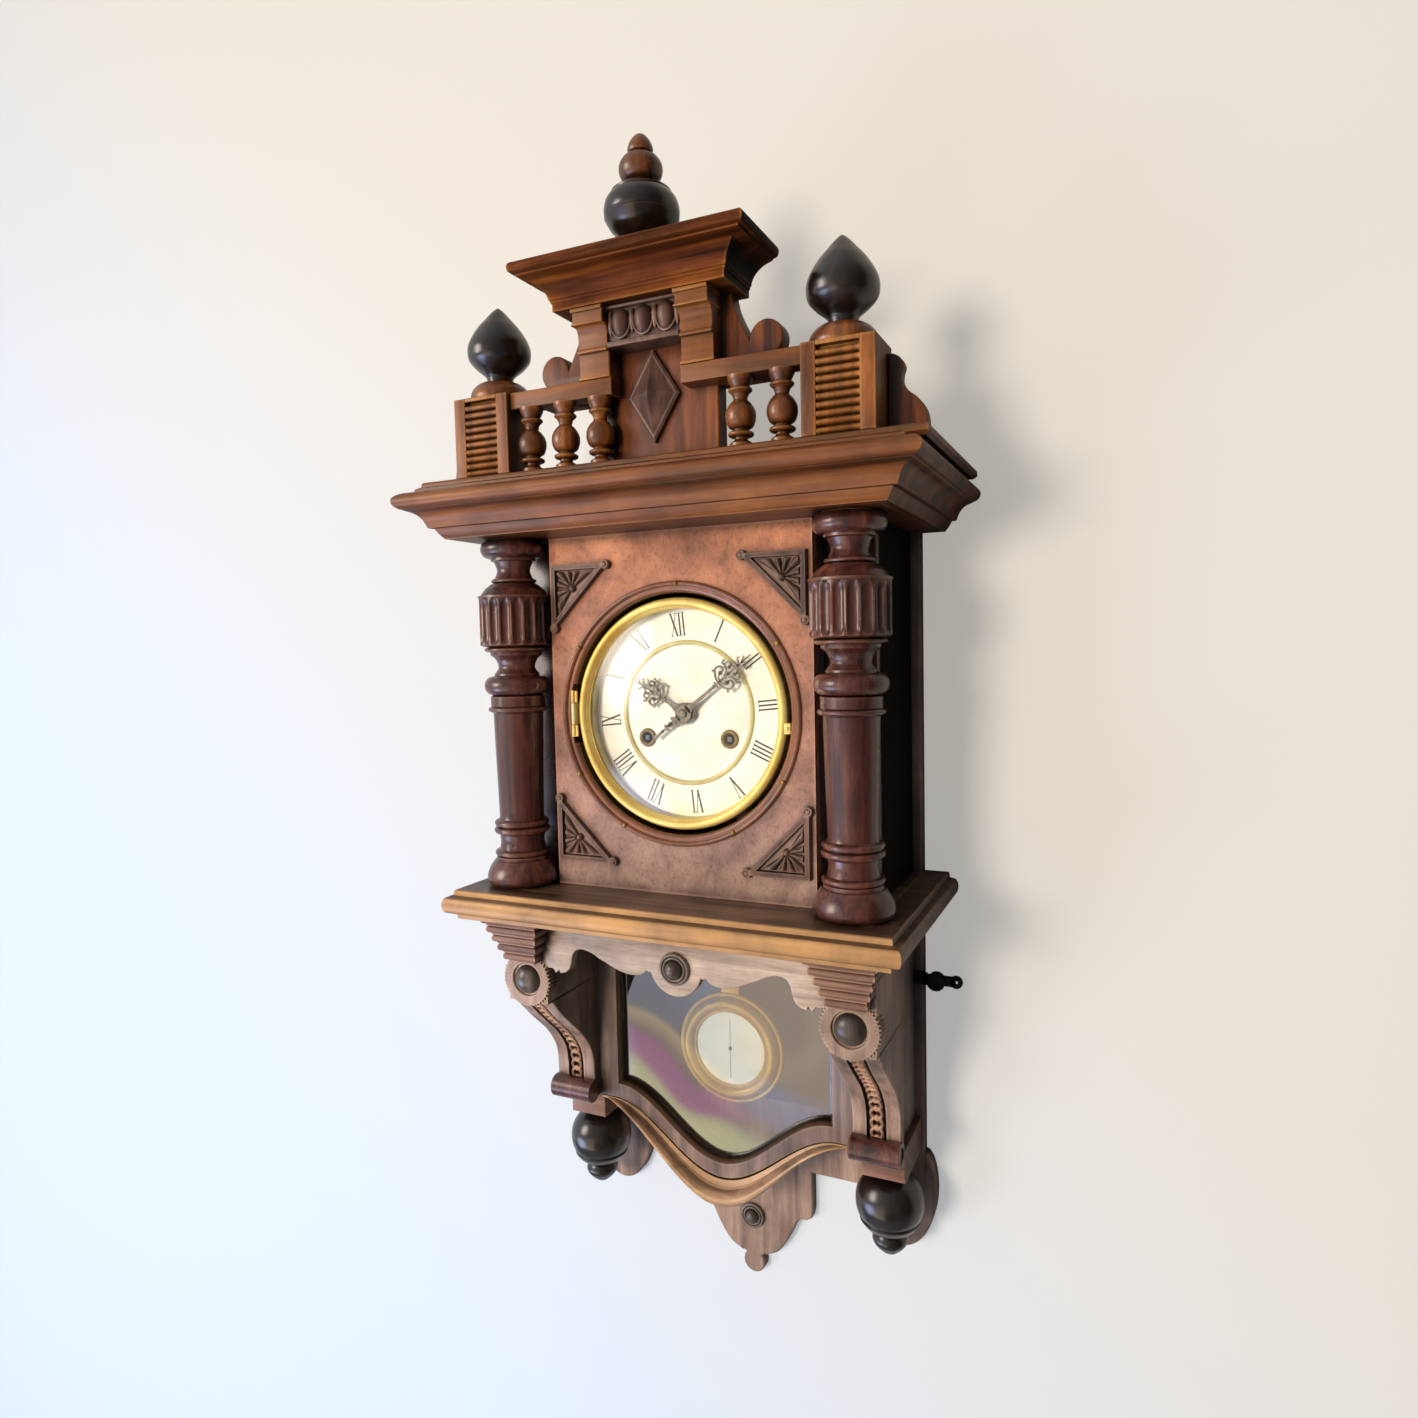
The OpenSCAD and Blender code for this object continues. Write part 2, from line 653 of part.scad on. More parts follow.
// The crest
rail_z = crest_z + spindle_h;
rail_top = rail_z + rail_h;
cap_z = rail_top + pilaster_h;
rail_front = top_d - 6.6;
post_front = top_d - 2.4;
module crest_board() {
    half = crest_w / 2;
    lobe = half + 34.5;
    color(wood) facing(crest_d - crest_t, crest_t) {
        polygon(two_halves(concat(
            [[half, crest_z], [half, rail_top], [lobe, rail_top], [lobe, rail_top + 12]],
            arc(half + 23, cap_z, 15, 32, 250, 180, 8))));
        for (s = [-1, 1]) translate([s * lobe, rail_top + 15]) circle(r = 12);
    }
}
module crest_posts() {
    stile = 10;
    strip = post_w - 2 * stile;
    pitch = (post_h - 4) / reed_count;
    color(wood) both_sides() translate([post_x, -post_front, crest_z]) {
        difference() {
            translate([-post_w / 2, 0, 0]) cube([post_w, post_deep, post_h]);
            translate([-strip / 2, -1, -1]) cube([strip, 5, post_h - 3 + 1]);
        }
        for (i = [0:reed_count - 1]) translate([-strip / 2, 4, (i + 0.5) * pitch])
            rotate([0, 90, 0]) cylinder(r = pitch * 0.42, h = strip, $fn = 24);
    }
}
module side_scrolls() {
    start = post_x + post_w / 2;
    reach = top_w / 2 - 7 - start;
    color(wood) both_sides() facing(crest_d - 20, 10) translate([start, crest_z]) polygon(concat(
        [[0, 0], [0, 48]], arc(4, 46, 5, 5, 120, 0, 6), [[8.5, 34]],
        arc(10, 12, reach - 10, 18, 80, 0, 6), [[reach, 0]]));
}
spindle_nominal = 45.7;
spindle_points = concat([[8, 0], [8, 2.5], [5, 4.5], [5, 6]], bead(6, 10, 6.5, 8.8, 4), [[5.5, 11]],
    bead(11, 29, 6, 10, 10), [[5.5, 30], [6.2, 32]], bead(32, 35, 6.5, 7.6, 4), [[7.6, 36], [8.6, 39]],
    [[8.6, 44], [8, 45.7]]);
spindle_d = crest_d + 10.3;
module spindles() {
    color(wood) {
        for (i = [0:2]) translate([-spindle_x + i * spindle_gap, -spindle_d, crest_z])
            turned(spindle_points, spindle_h, spindle_nominal);
        for (i = [0:1]) translate([spindle_x - i * spindle_gap, -spindle_d, crest_z])
            turned(spindle_points, spindle_h, spindle_nominal);
    }
}
pilaster_in = 27.5;
pilaster_w = 24;
module crest_rails() {
    color(wood) {
        both_sides() translate([pilaster_in, -rail_front, rail_z])
            cube([post_x - post_w / 2 - pilaster_in, rail_front - crest_d, rail_h]);
        pilasters();
    }
}
module pilasters() {
    tiers = [[0, 0.43, 0], [0.43, 0.7, 3], [0.7, 1, 8]];
    both_sides() for (t = tiers) translate([pilaster_in, -rail_front - t[2], rail_top + t[0]
        * pilaster_h])
        cube([pilaster_w, rail_front + t[2] - crest_d, (t[1] - t[0]) * pilaster_h]);
}
module egg_strip() {
    low = cap_z - 24;
    color(wood) translate([0, -crest_d, 0]) {
        translate([-pilaster_in, -14, low]) cube([2 * pilaster_in, 14, 24]);
        translate([-pilaster_in, -18, low - 3]) cube([2 * pilaster_in, 18, 3]);
        for (x = [-17, 0, 17]) translate([x, -14, low + 12]) intersection() {
            rotate_extrude($fn = 24) polygon([for (a = [-90:15:90]) [6.2 * cos(a), 9.5 * sin(a)]]);
            translate([-10, -10, -12]) cube([20, 10, 24]);
        }
        for (x = [-25.4, -8.5, 8.5, 25.4]) translate([x - 1, -17, low + 3]) cube([2, 3, 18]);
    }
}
module lozenge() {
    half_w = 20;
    half_h = 31.6;
    mid = (crest_z + rail_z) / 2 + 21;
    color(dark_wood) translate([0, -crest_d, mid]) {
        facing(0, 4) polygon([[-half_w, 0], [0, half_h], [half_w, 0], [0, -half_h]]);
        scale([half_w - 3, 1, half_h - 5]) rotate([90, 0, 0]) translate([0, 0, 4])
            cylinder(r1 = 1, r2 = 0.1, h = 7, $fn = 4);
    }
}
cap_run = 21;
cap_edge = [for (p = concat([[0, 0], [0, 0.2], [1.5, 0.22]], arc(1.5, 0.74, 17, 0.52, -90, 0, 8),
    [[cap_run, 0.76], [cap_run, 1]])) [p[0], cap_z + p[1] * cap_h]];
module pediment_cap() {
    color(wood) intersection() {
        moulded_board(cap_edge, cap_w / 2 - cap_run, cap_front - cap_run);
        translate([-200, -300, cap_z - 1]) cube([400, 300 - cap_back, cap_h + 2]);
    }
}
cap_top = cap_z + cap_h;
finial_points = concat([[9, 0], [9, 3], [7.5, 5], [9, 9]],
    [for (a = [-50:20:70]) [finial_ball_r * cos(a), 28 + 18 * sin(a)]], bead(46.2, 67, 7, 14.7, 10),
    [[7, 67.5], [8.4, 69.5], [7.4, 73], [4, 77.5], [0.4, 79.3]]);
finial_d = top_d - 8.2;
module centre_finial() {
    color(black_wood) translate([0, -finial_d, cap_top]) turned(finial_points, 79.3, 79.3);
}
onion_points = concat([[finial_foot_r, 0]], arc(0, 0, finial_foot_r, 14, 8, 62, 6), [[8, 13.5], [8,
    17.5]],
    arc(0, 38, onion_r, 20, -62, 0, 8),
    [for (i = [1:10]) let(t = i / 10) [max(0.4, onion_r * (cos(90 * t) * 0.55 + (1 - t) * 0.45)),
        38 + 33 * t]]);
module side_finials() {
    color(black_wood) both_sides() translate([column_x, -post_front + post_deep / 2 + 0.5,
        crest_z + post_h])
        turned(onion_points, 69, 71);
}

// Fittings on the backboard
lug_z = dial_z - lug_drop;
lug_t = 3;
lug_x = back_w / 2 + lug_reach;
screw_x = back_w / 2 + 11;
thumb_r = 2.5;
module steady_lugs() {
    color("#2c2a29") both_sides() translate([0, -back_t, lug_z]) rotate([90, 0, 0]) difference() {
        union() {
            translate([case_x + 0.4, -5, 0]) linear_extrude(lug_t) square([lug_x - case_x, 10]);
            translate([lug_x, 0, 0]) cylinder(r = 5, h = lug_t);
            translate([screw_x, 0, 0]) cylinder(r = 6, h = lug_t);
        }
        translate([lug_x, 0, -1]) cylinder(r = lug_hole_r, h = lug_t + 2);
        translate([screw_x, 0, -1]) cylinder(r = thumb_r + run_gap, h = lug_t + 2);
    }
}
module thumbscrew() {
    color("#2c2a29") translate([screw_x, 0, lug_z]) rotate([90, 0, 0]) {
        translate([0, 0, 0.5]) cylinder(r1 = 1, r2 = thumb_r, h = 2);
        translate([0, 0, 2.5]) cylinder(r = thumb_r, h = back_t + lug_t + 1);
        translate([0, 0, back_t + lug_t + 1]) difference() {
            cylinder(r = 7.5, h = 4);
            for (a = [0:30:330]) rotate(a) translate([8.1, 0, -1]) cylinder(r = 1.1, h = 6, $fn = 16);
        }
    }
}
module thumbscrew_right() {
    thumbscrew();
}
module thumbscrew_left() {
    mirror([1, 0, 0]) thumbscrew();
}

// The dial
module at_dial() {
    translate([0, 0, dial_z]) children();
}
module dial_plates() {
    color(ivory) at_dial() {
        turned_facing([[centre_r + dial_ring_w, plate_back], [chapter_r, plate_back],
            [chapter_r, dial_d], [centre_r + dial_ring_w, dial_d]]);
        difference() {
            rotate([90, 0, 0]) translate([0, 0, plate_back]) cylinder(r = centre_r,
                h = dial_d - plate_back - 0.6);
            arbor_holes(6.2);
        }
    }
}
module arbor_holes(r) {
    for (p = [[0, 0], [-wind_x, -wind_drop], [wind_x, -wind_drop]]) rotate([90, 0, 0])
        translate([p[0], p[1], 0]) cylinder(r = r, h = 200);
}
// The brass pan behind the dial, with its ring, grommets, sight ring and hinge ear
module dial_pan() {
    wall = bezel_r - 2.5;
    color(brass) at_dial() difference() {
        union() {
            turned_facing([[0, pan_back], [wall, pan_back], [wall, bezel_front - 12.6], [wall - 1,
                bezel_front - 12.6],
                [wall - 1, plate_back], [0, plate_back]]);
            turned_facing([[centre_r, plate_back], [centre_r + dial_ring_w, plate_back],
                [centre_r + dial_ring_w, dial_d + 0.6], [centre_r, dial_d + 0.6]]);
            turned_facing([[chapter_r, plate_back], [wall - 1, plate_back], [wall - 1, dial_d + 4.5],
                [chapter_r + 1.6, dial_d + 4.5], [chapter_r, dial_d + 0.5]]);
            for (s = [-1, 1]) rotate([90, 0, 0]) translate([s * wind_x, -wind_drop, plate_back])
                cylinder(r = 6.2, h = 2.6);
            translate([-wall - 4.8, -pan_back - 6, -8]) cube([5.4, 6, 16]);
            translate([-hinge_x + 0.6, -hinge_d, -8]) cube([1.1, hinge_d - pan_back, 16]);
            translate([-hinge_x, -hinge_d, -8]) cylinder(r = 1.7, h = 16, $fn = 32);
        }
        arbor_holes(4.2);
        translate([-hinge_x, -hinge_d, -20]) cylinder(r = 0.8 + run_gap, h = 40, $fn = 32);
    }
}
bezel_back = bezel_front - 11;
module bezel() {
    at_dial() color(brass) difference() {
        union() {
            turned_facing(concat([[bezel_r - 1.2, bezel_back], [bezel_r, bezel_back]],
                [for (i = [0:8]) let(a = 180 * i / 8) [bezel_r - 3.6 + 3.6 * cos(a),
                    bezel_front - 3.6 + 3.6 * sin(a)]],
                [[sight_r, bezel_front - 4.2], [sight_r, bezel_front - 5.4], [bezel_r - 1.2,
                    bezel_front - 5.4]]));
            for (s = [-1, 1]) translate([0, 0, s * 13]) {
                translate([-hinge_x, -hinge_d, -4.6]) cylinder(r = 1.7, h = 9.2, $fn = 32);
                translate([-hinge_x, -hinge_d - 0.6, -4.6]) cube([5.5, 2.4, 9.2]);
            }
            translate([bezel_r - 2.6, -bezel_front + 0.4, -13]) cube([5, 5.2, 8]);
        }
        translate([-hinge_x, -hinge_d, -20]) cylinder(r = 0.8 + run_gap, h = 40, $fn = 32);
    }
}
module bezel_pin() {
    color(steel) at_dial() translate([-hinge_x, -hinge_d, -18]) cylinder(r = 0.8, h = 36, $fn = 32);
}
// A spherical shell that rises glass_rise over the sight
glass_r = sight_r + 3;
dome_r = (glass_r * glass_r + glass_rise * glass_rise) / (2 * glass_rise);
dome_d = bezel_front - 4 + glass_rise - dome_r;
module bezel_glass() {
    edge = asin(sight_r / dome_r);
    inner = asin(sight_r / (dome_r - glass_t));
    color(glass_tint, 0.3) at_dial() turned_facing(concat(
        [for (i = [0:12]) let(a = edge * i / 12) [dome_r * sin(a), dome_d + dome_r * cos(a)]],
        [for (i = [12:-1:0]) let(a = inner * i / 12) [(dome_r - glass_t) * sin(a),
            dome_d + (dome_r - glass_t) * cos(a)]]));
}

// The hands, pointing up before they are turned
hour_d = dial_d + 4;
minute_d = hour_d + 2.6;
hand_t = 0.8;
pipe_r = 3.2;
module hand_outline(long, wide) {
    polygon([[-1.6, 0], [-1.1, long * 0.5], [-wide * 0.2, long * 0.54], [-wide * 0.5, long * 0.62],
        [-wide * 0.42, long * 0.72], [-wide * 0.2, long * 0.78], [-0.9, long * 0.84], [-0.3, long],
        [0.3, long], [0.9, long * 0.84], [wide * 0.2, long * 0.78], [wide * 0.42, long * 0.72],
        [wide * 0.5, long * 0.62], [wide * 0.2, long * 0.54], [1.1, long * 0.5], [1.6, 0]]);
}
module hand_piercing(long, wide) {
    for (s = [-1, 1]) translate([s * wide * 0.24, long * 0.645]) circle(r = wide * 0.13, $fn = 24);
    translate([0, long * 0.74]) circle(r = wide * 0.1, $fn = 24);
}
module hour_hand() {
    wheel_d = front_plate_d + 4.6;
    color(steel) at_dial() rotate([90, 0, 0]) difference() {
        union() {
            translate([0, 0, hour_d]) rotate(-hour_angle) linear_extrude(hand_t) difference() {
                union() {
                    circle(r = 8);
                    hand_outline(hour_len, 17);
                }
                hand_piercing(hour_len, 17);
            }
            translate([0, 0, wheel_d]) cylinder(r = pipe_r, h = hour_d + hand_t - wheel_d);
            translate([0, 0, wheel_d]) linear_extrude(1.2) gear(40, 0.48);
        }
        cylinder(r = 2.6 + run_gap, h = 300);
    }
}
module minute_hand() {
    cannon = front_plate_d + 1;
    color(steel) at_dial() rotate([90, 0, 0]) difference() {
        union() {
            translate([0, 0, minute_d]) rotate(-minute_angle) linear_extrude(hand_t) difference() {
                union() {
                    circle(r = 6.5);
                    hand_outline(minute_len, 18);
                    rotate(180) hand_outline(tail_len, 9);
                }
                hand_piercing(minute_len, 18);
            }
            translate([0, 0, cannon]) cylinder(r = 2.6, h = minute_d + hand_t - cannon);
            translate([0, 0, cannon]) linear_extrude(1.8) gear(12, 0.5);
            translate([0, 0, minute_d + 0.1]) cylinder(r = 3, h = hand_t + 1.5, $fn = 6);
        }
        cylinder(r = 1.5 + run_gap, h = 300);
    }
}

// A plain spur gear outline with backlash; teeth start with one centred on the x axis
function tooth(n, m) = let(pitch = n * m / 2, w = 90 / n) [
    [pitch - 1.15 * m, -w * 1.25], [pitch, -w * 0.78], [pitch + 0.55 * m, -w * 0.4],
    [pitch + 0.55 * m, w * 0.4], [pitch, w * 0.78], [pitch - 1.15 * m, w * 1.25]];
module gear(n, m, turn = 0) {
    t = tooth(n, m);
    rotate(turn) polygon([for (i = [0:n - 1]) for (p = t) let(a = p[1] + i * 360 / n) [p[0] * cos(a),
        p[0] * sin(a)]]);
}
// Turn that sets a gear of n teeth in mesh with a fixed one of k teeth turned by start,
// where the line from the fixed gear to this one points along dir
function mesh(n, k, start, dir) = dir + 180 + (180 + (dir - start) * k) / n;

motion_dir = -90;
motion_far = 12;
module motion_wheel() {
    color(brass) at_dial() rotate([90, 0, 0])
        translate([motion_far * cos(motion_dir), motion_far * sin(motion_dir), 0]) {
            difference() {
                union() {
                    translate([0, 0, front_plate_d + 1]) linear_extrude(1.2) gear(36, 0.5, mesh(36, 12,
                        0, motion_dir));
                    translate([0, 0, front_plate_d + 2.2]) linear_extrude(4) gear(10, 0.48, mesh(10, 40,
                        0, motion_dir));
                }
                translate([0, 0, front_plate_d]) cylinder(r = 1 + run_gap, h = 10, $fn = 32);
            }
        }
}

// The movement: arbor places are [x, height] from the dial's centre
plate_low = -62;
plate_high = 50;
front_in = front_plate_d - plate_t;
back_in = back_plate_d + plate_t;
going = [wind_x, -wind_drop];
strike = [-wind_x, -wind_drop];
great_m = 0.7;
second_m = 0.5;
centre_m = 0.46;
escape_m = 0.4;
middle_far = (84 + 12) / 2 * great_m;
// Where an arbor lies at distance a from p and b from q, on the side chosen by s
function meet(p, q, a, b, s) = let(d = norm(q - p), u = (q - p) / d, along = (a * a - b * b + d * d)
    / (2 * d),
    off = sqrt(a * a - along * along)) p + u * along + s * off * [-u[1], u[0]];
second = meet([0, 0], going, (72 + 10) / 2 * second_m, middle_far, -1);
escape_up = 15;
escape = [0, escape_up];
third = meet([0, 0], escape, (80 + 8) / 2 * centre_m, (76 + 7) / 2 * escape_m, 1);
fly_wheel = strike + middle_far * [cos(100), sin(100)];
fly_at = fly_wheel + (60 + 8) / 2 * second_m * [cos(80), sin(80)];
function bearing(p, q) = atan2(q[1] - p[1], q[0] - p[0]);
arbor_r = 1.2;
module at(p, d) {
    translate([p[0], p[1], d]) children();
}
// The cock that carries the front of the escape arbor, and the hammer's stud
cock_post = [18, 12];
cock_d = 70.3;
hammer_at = [-30, -45];
pillar_places = [[-47, -55], [47, -55], [-47, 44], [47, 44]];
module movement_frame() {
    color(brass) at_dial() rotate([90, 0, 0]) {
        for (d = [back_plate_d, front_in]) difference() {
            translate([-plate_w / 2, plate_low, d]) cube([plate_w, plate_high - plate_low, plate_t]);
            for (p = [second, third, fly_wheel, fly_at]) at(p, d - 1) cylinder(r = arbor_r + run_gap,
                h = plate_t + 2, $fn = 32);
            at(escape, back_plate_d - 1) cylinder(r = arbor_r + run_gap, h = plate_t + 2, $fn = 32);
            at([0, pivot_up], d - 1) cylinder(r = arbor_r + run_gap, h = plate_t + 2, $fn = 32);
            at([0, 0], d - 1) cylinder(r = 1.5 + run_gap, h = plate_t + 2, $fn = 32);
            for (p = [going, strike]) at(p, d - 1) cylinder(r = 2.5 + run_gap, h = plate_t + 2, $fn = 32);
        }
        for (p = pillar_places) at(p, back_in) cylinder(r = 3, h = front_in - back_in);
        at([motion_far * cos(motion_dir), motion_far * sin(motion_dir)], front_plate_d) cylinder(r = 1,
            h = 8, $fn = 32);
        for (p = [[-47, 44], [47, 44], [0, -56]]) at(p, front_plate_d) cylinder(r = 2.5,
            h = pan_back - front_plate_d);
        at([0, pivot_up], 0) {
            translate([-7, 4, rod_d - 4]) cube([14, 6, back_plate_d - rod_d + 4]);
            translate([-7, -1, rod_d - 4]) cube([5, 6, 8]);
            translate([2, -1, rod_d - 4]) cube([5, 6, 8]);
        }
        for (p = pillar_places) at(p, back_t) cylinder(r = 4, h = back_plate_d - back_t);
        at(cock_post, back_in) cylinder(r = 2.5, h = cock_d - back_in + plate_t);
        at(hammer_at, back_plate_d - 8) cylinder(r = 1.5, h = 8, $fn = 32);
        difference() {
            at(escape, cock_d) rotate(bearing(escape, cock_post)) linear_extrude(plate_t)
                translate([-3.5, -3]) square([norm(cock_post - escape) + 3.5, 6]);
            at(escape, cock_d - 1) cylinder(r = arbor_r + run_gap, h = plate_t + 2, $fn = 32);
        }
    }
}
barrel_back = back_plate_d + 11.5;
barrel_h = front_in - 4.5 - barrel_back - 2;
module barrel_body(turn) {
    difference() {
        union() {
            translate([0, 0, barrel_back]) linear_extrude(2) gear(84, great_m, turn);
            translate([0, 0, barrel_back + 2]) cylinder(r = barrel_r, h = barrel_h);
        }
        translate([0, 0, barrel_back + 3.5]) difference() {
            cylinder(r = barrel_r - 1.2, h = barrel_h - 3);
            cylinder(r = 5, h = barrel_h - 3);
            spring_coil();
        }
        translate([0, 0, barrel_back - 1]) cylinder(r = 2.5 + run_gap, h = barrel_h + 8, $fn = 32);
    }
}
// The mainspring: a spiral ribbon from the hub out to the barrel's wall
module spring_coil() {
    turns = 6;
    steps = 24;
    r0 = 4.6;
    r1 = barrel_r - 1;
    linear_extrude(barrel_h - 3) polygon(concat(
        [for (i = [0:turns * steps]) let(t = i / (turns * steps)) (r0 + (r1 - r0) * t + 0.35)
            * [cos(360 * turns * t), sin(360 * turns * t)]],
        [for (i = [turns * steps:-1:0]) let(t = i / (turns * steps)) (r0 + (r1 - r0) * t - 0.35)
            * [cos(360 * turns * t), sin(360 * turns * t)]]));
}
module going_barrel() {
    color(brass) at_dial() rotate([90, 0, 0]) at(going, 0) barrel_body(0);
}
module strike_barrel() {
    color(brass) at_dial() rotate([90, 0, 0]) at(strike, 0) barrel_body(0);
}
module wind_arbor() {
    translate([0, 0, back_plate_d - 1]) cylinder(r = 2.5, h = dial_d - back_plate_d - 9, $fn = 32);
    translate([-1.7, -1.7, dial_d - 11]) cube([3.4, 3.4, 11.6]);
}
module going_arbor() {
    color(steel) at_dial() rotate([90, 0, 0]) at(going, 0) wind_arbor();
}
module strike_arbor() {
    color(steel) at_dial() rotate([90, 0, 0]) at(strike, 0) wind_arbor();
}
module arbor(r = arbor_r, extra = 0) {
    translate([0, 0, back_plate_d + 0.3]) cylinder(r = r,
        h = front_plate_d - back_plate_d - 0.6 + extra, $fn = 32);
}
second_turn = mesh(12, 84, 0, bearing(going, second));
centre_turn = mesh(10, 72, second_turn, bearing(second, [0, 0]));
third_turn = mesh(8, 80, centre_turn, bearing([0, 0], third));
strike_turn = mesh(12, 84, 0, bearing(strike, fly_wheel));
module train(p) {
    color(brass) at_dial() rotate([90, 0, 0]) at(p, 0) children();
}
module second_wheel() {
    train(second) {
        arbor();
        translate([0, 0, barrel_back - 1]) linear_extrude(4) gear(12, great_m, second_turn);
        translate([0, 0, back_in + 3]) linear_extrude(1.5) gear(72, second_m, second_turn);
    }
}
module centre_wheel() {
    train([0, 0]) {
        arbor(1.5, minute_d + hand_t + 1 - front_plate_d);
        translate([0, 0, back_in + 2.8]) linear_extrude(2.2) gear(10, second_m, centre_turn);
        translate([0, 0, front_in - 2.2]) linear_extrude(1.2) gear(80, centre_m, centre_turn);
    }
}
module third_wheel() {
    train(third) {
        arbor();
        translate([0, 0, front_in - 2.8]) linear_extrude(2.4) gear(8, centre_m, third_turn);
        translate([0, 0, back_in + 6.5]) linear_extrude(1.2) gear(76, escape_m, third_turn);
    }
}
module strike_wheel() {
    train(fly_wheel) {
        arbor();
        translate([0, 0, barrel_back - 1]) linear_extrude(4) gear(12, great_m, strike_turn);
        translate([0, 0, back_in + 4.5]) linear_extrude(1.2) gear(60, second_m, strike_turn);
    }
}
module fly() {
    train(fly_at) {
        arbor();
        translate([0, 0, back_in + 4]) linear_extrude(2.4) gear(8, second_m, mesh(8, 60, strike_turn,
            bearing(fly_wheel, fly_at)));
        translate([-7, -0.5, back_in + 18]) cube([14, 1, front_in - back_in - 24]);
    }
}
escape_r = 12.2;
escape_teeth = 30;
module escape_wheel() {
    train(escape) {
        translate([0, 0, back_plate_d + 0.3]) cylinder(r = arbor_r,
            h = cock_d + plate_t - back_plate_d - 0.6, $fn = 32);
        translate([0, 0, back_in + 5]) linear_extrude(3.2) gear(7, escape_m, mesh(7, 76, third_turn,
            bearing(third, escape)));
        translate([0, 0, back_in + 1.2]) linear_extrude(1.2) polygon([for (i = [0:escape_teeth - 1])
            let(s = 360 / escape_teeth)
            for (p = [[escape_r - 2, i * s], [escape_r, i * s + s * 0.55], [escape_r - 2,
                i * s + s * 0.75]]) p[0] * [cos(p[1]), sin(p[1])]]);
    }
}
module anchor() {
    reach = 24;
    color(steel) at_dial() rotate([90, 0, 0]) at([0, pivot_up], 0) {
        translate([0, 0, rod_d + 3.5]) cylinder(r = arbor_r, h = front_plate_d - rod_d - 3.8, $fn = 32);
        translate([0, 0, back_in + 1.2]) linear_extrude(1.2) difference() {
            union() {
                circle(r = 3.4);
                for (s = [-1, 1]) polygon([[s * 1, -2], [s * 1, 3], [s * 14.5, -5], [s * 16, -14],
                    [s * 14, -15], [s * 12.6, -7]]);
            }
            circle(r = 0.9);
        }
        translate([-1, -pivot_up - 14, rod_d + 3.5]) cube([2, pivot_up + 14, 1.2]);
        for (s = [-1, 1]) translate([s * (rod_w / 2 + 0.9) - 0.5, -pivot_up - 16, rod_d - 2.6]) cube([1,
            4, 7.3]);
        translate([-rod_w / 2 - 1.4, -pivot_up - 16, rod_d + 3.5]) cube([rod_w + 2.8, 4, 1.2]);
    }
}

// The pendulum hangs from its spring at the pivot
pivot_z = dial_z + pivot_up;
bob_z = pivot_z - bob_drop;
bob_back = rod_d + 2.5;
bob_t = 9.5;
rod_low = bob_drop - bob_r + 4;
module pendulum_rod() {
    color(wood) translate([0, 0, pivot_z]) {
        rotate([90, 0, 0]) translate([-rod_w / 2, -rod_low, rod_d - 1.5]) cube([rod_w, rod_low - 20, 3]);
        rotate([90, 0, 0]) translate([-1.6, -20, rod_d - 0.2]) cube([3.2, 22, 0.4]);
        rotate([90, 0, 0]) translate([-4, -24, rod_d - 1.9]) cube([8, 6, 3.8]);
        translate([0, -rod_d, -bob_drop - bob_r + 8]) cylinder(r = 1.5, h = 2 * bob_r - 10, $fn = 32);
    }
}
module pendulum_bob() {
    color(brass) translate([0, 0, bob_z]) {
        turned_facing(concat([[0, bob_back], [bob_r, bob_back], [bob_r, bob_back + 2.5]],
            [for (i = [0:8]) let(a = 180 * i / 8) [(bob_r + disc_r) / 2 + (bob_r - disc_r) / 2 * cos(a),
                bob_back + 2.5 + (bob_t - 2.5) * sin(a)]],
            [[disc_r, bob_back + 5.5], [0, bob_back + 5.5]]));
        translate([-8, -bob_back - 3.5, bob_r - 0.6]) cube([16, bob_back + 3.2 - rod_d - 1.5, 6]);
    }
}
nut_z = bob_z - bob_r + 14;
module rating_nut() {
    color(brass) translate([0, -rod_d, nut_z]) difference() {
        cylinder(r = 2.3, h = 4, $fn = 24);
        translate([0, 0, -1]) cylinder(r = 1.5 + run_gap, h = 6, $fn = 32);
    }
}

// The gong: a spiral of flat wire on a stand, with its hammer
gong_r = 40;
gong_z = gong_r + 8.5 - dial_up;
module gong() {
    turns = 3;
    steps = 24;
    r0 = 14;
    color(steel) at_dial() rotate([90, 0, 0]) {
        translate([0, gong_z, 24]) {
            linear_extrude(3) polygon(concat(
                [for (i = [0:turns * steps]) let(t = i / (turns * steps)) (r0 + (gong_r - r0) * t + 1.1)
                    * [cos(360 * turns * t), sin(360 * turns * t)]],
                [for (i = [turns * steps:-1:0]) let(t = i / (turns * steps)) (r0 + (gong_r - r0)
                    * t - 1.1) * [cos(360 * turns * t), sin(360 * turns * t)]]));
            translate([gong_r - 4, -6, 10 - 24]) linear_extrude(18) square([10, 12]);
        }
    }
}

// The hammer: hub on the stud, arm, and a head beside the gong
module gong_hammer() {
    head = [-46, gong_z];
    color(brass) at_dial() rotate([90, 0, 0]) {
        difference() {
            union() {
                at(hammer_at, back_plate_d - 6) cylinder(r = 3.5, h = 4);
                at(hammer_at, back_plate_d - 6) rotate(bearing(hammer_at, head)) linear_extrude(1.5)
                    translate([0, -1.2]) square([norm(head - hammer_at), 2.4]);
            }
            at(hammer_at, back_plate_d - 8) cylinder(r = 1.5 + run_gap, h = 10, $fn = 32);
        }
        at(head, 30) cylinder(r = 1.5, h = back_plate_d - 34.5);
        at(head, 20) cylinder(r = 4, h = 11);
    }
}

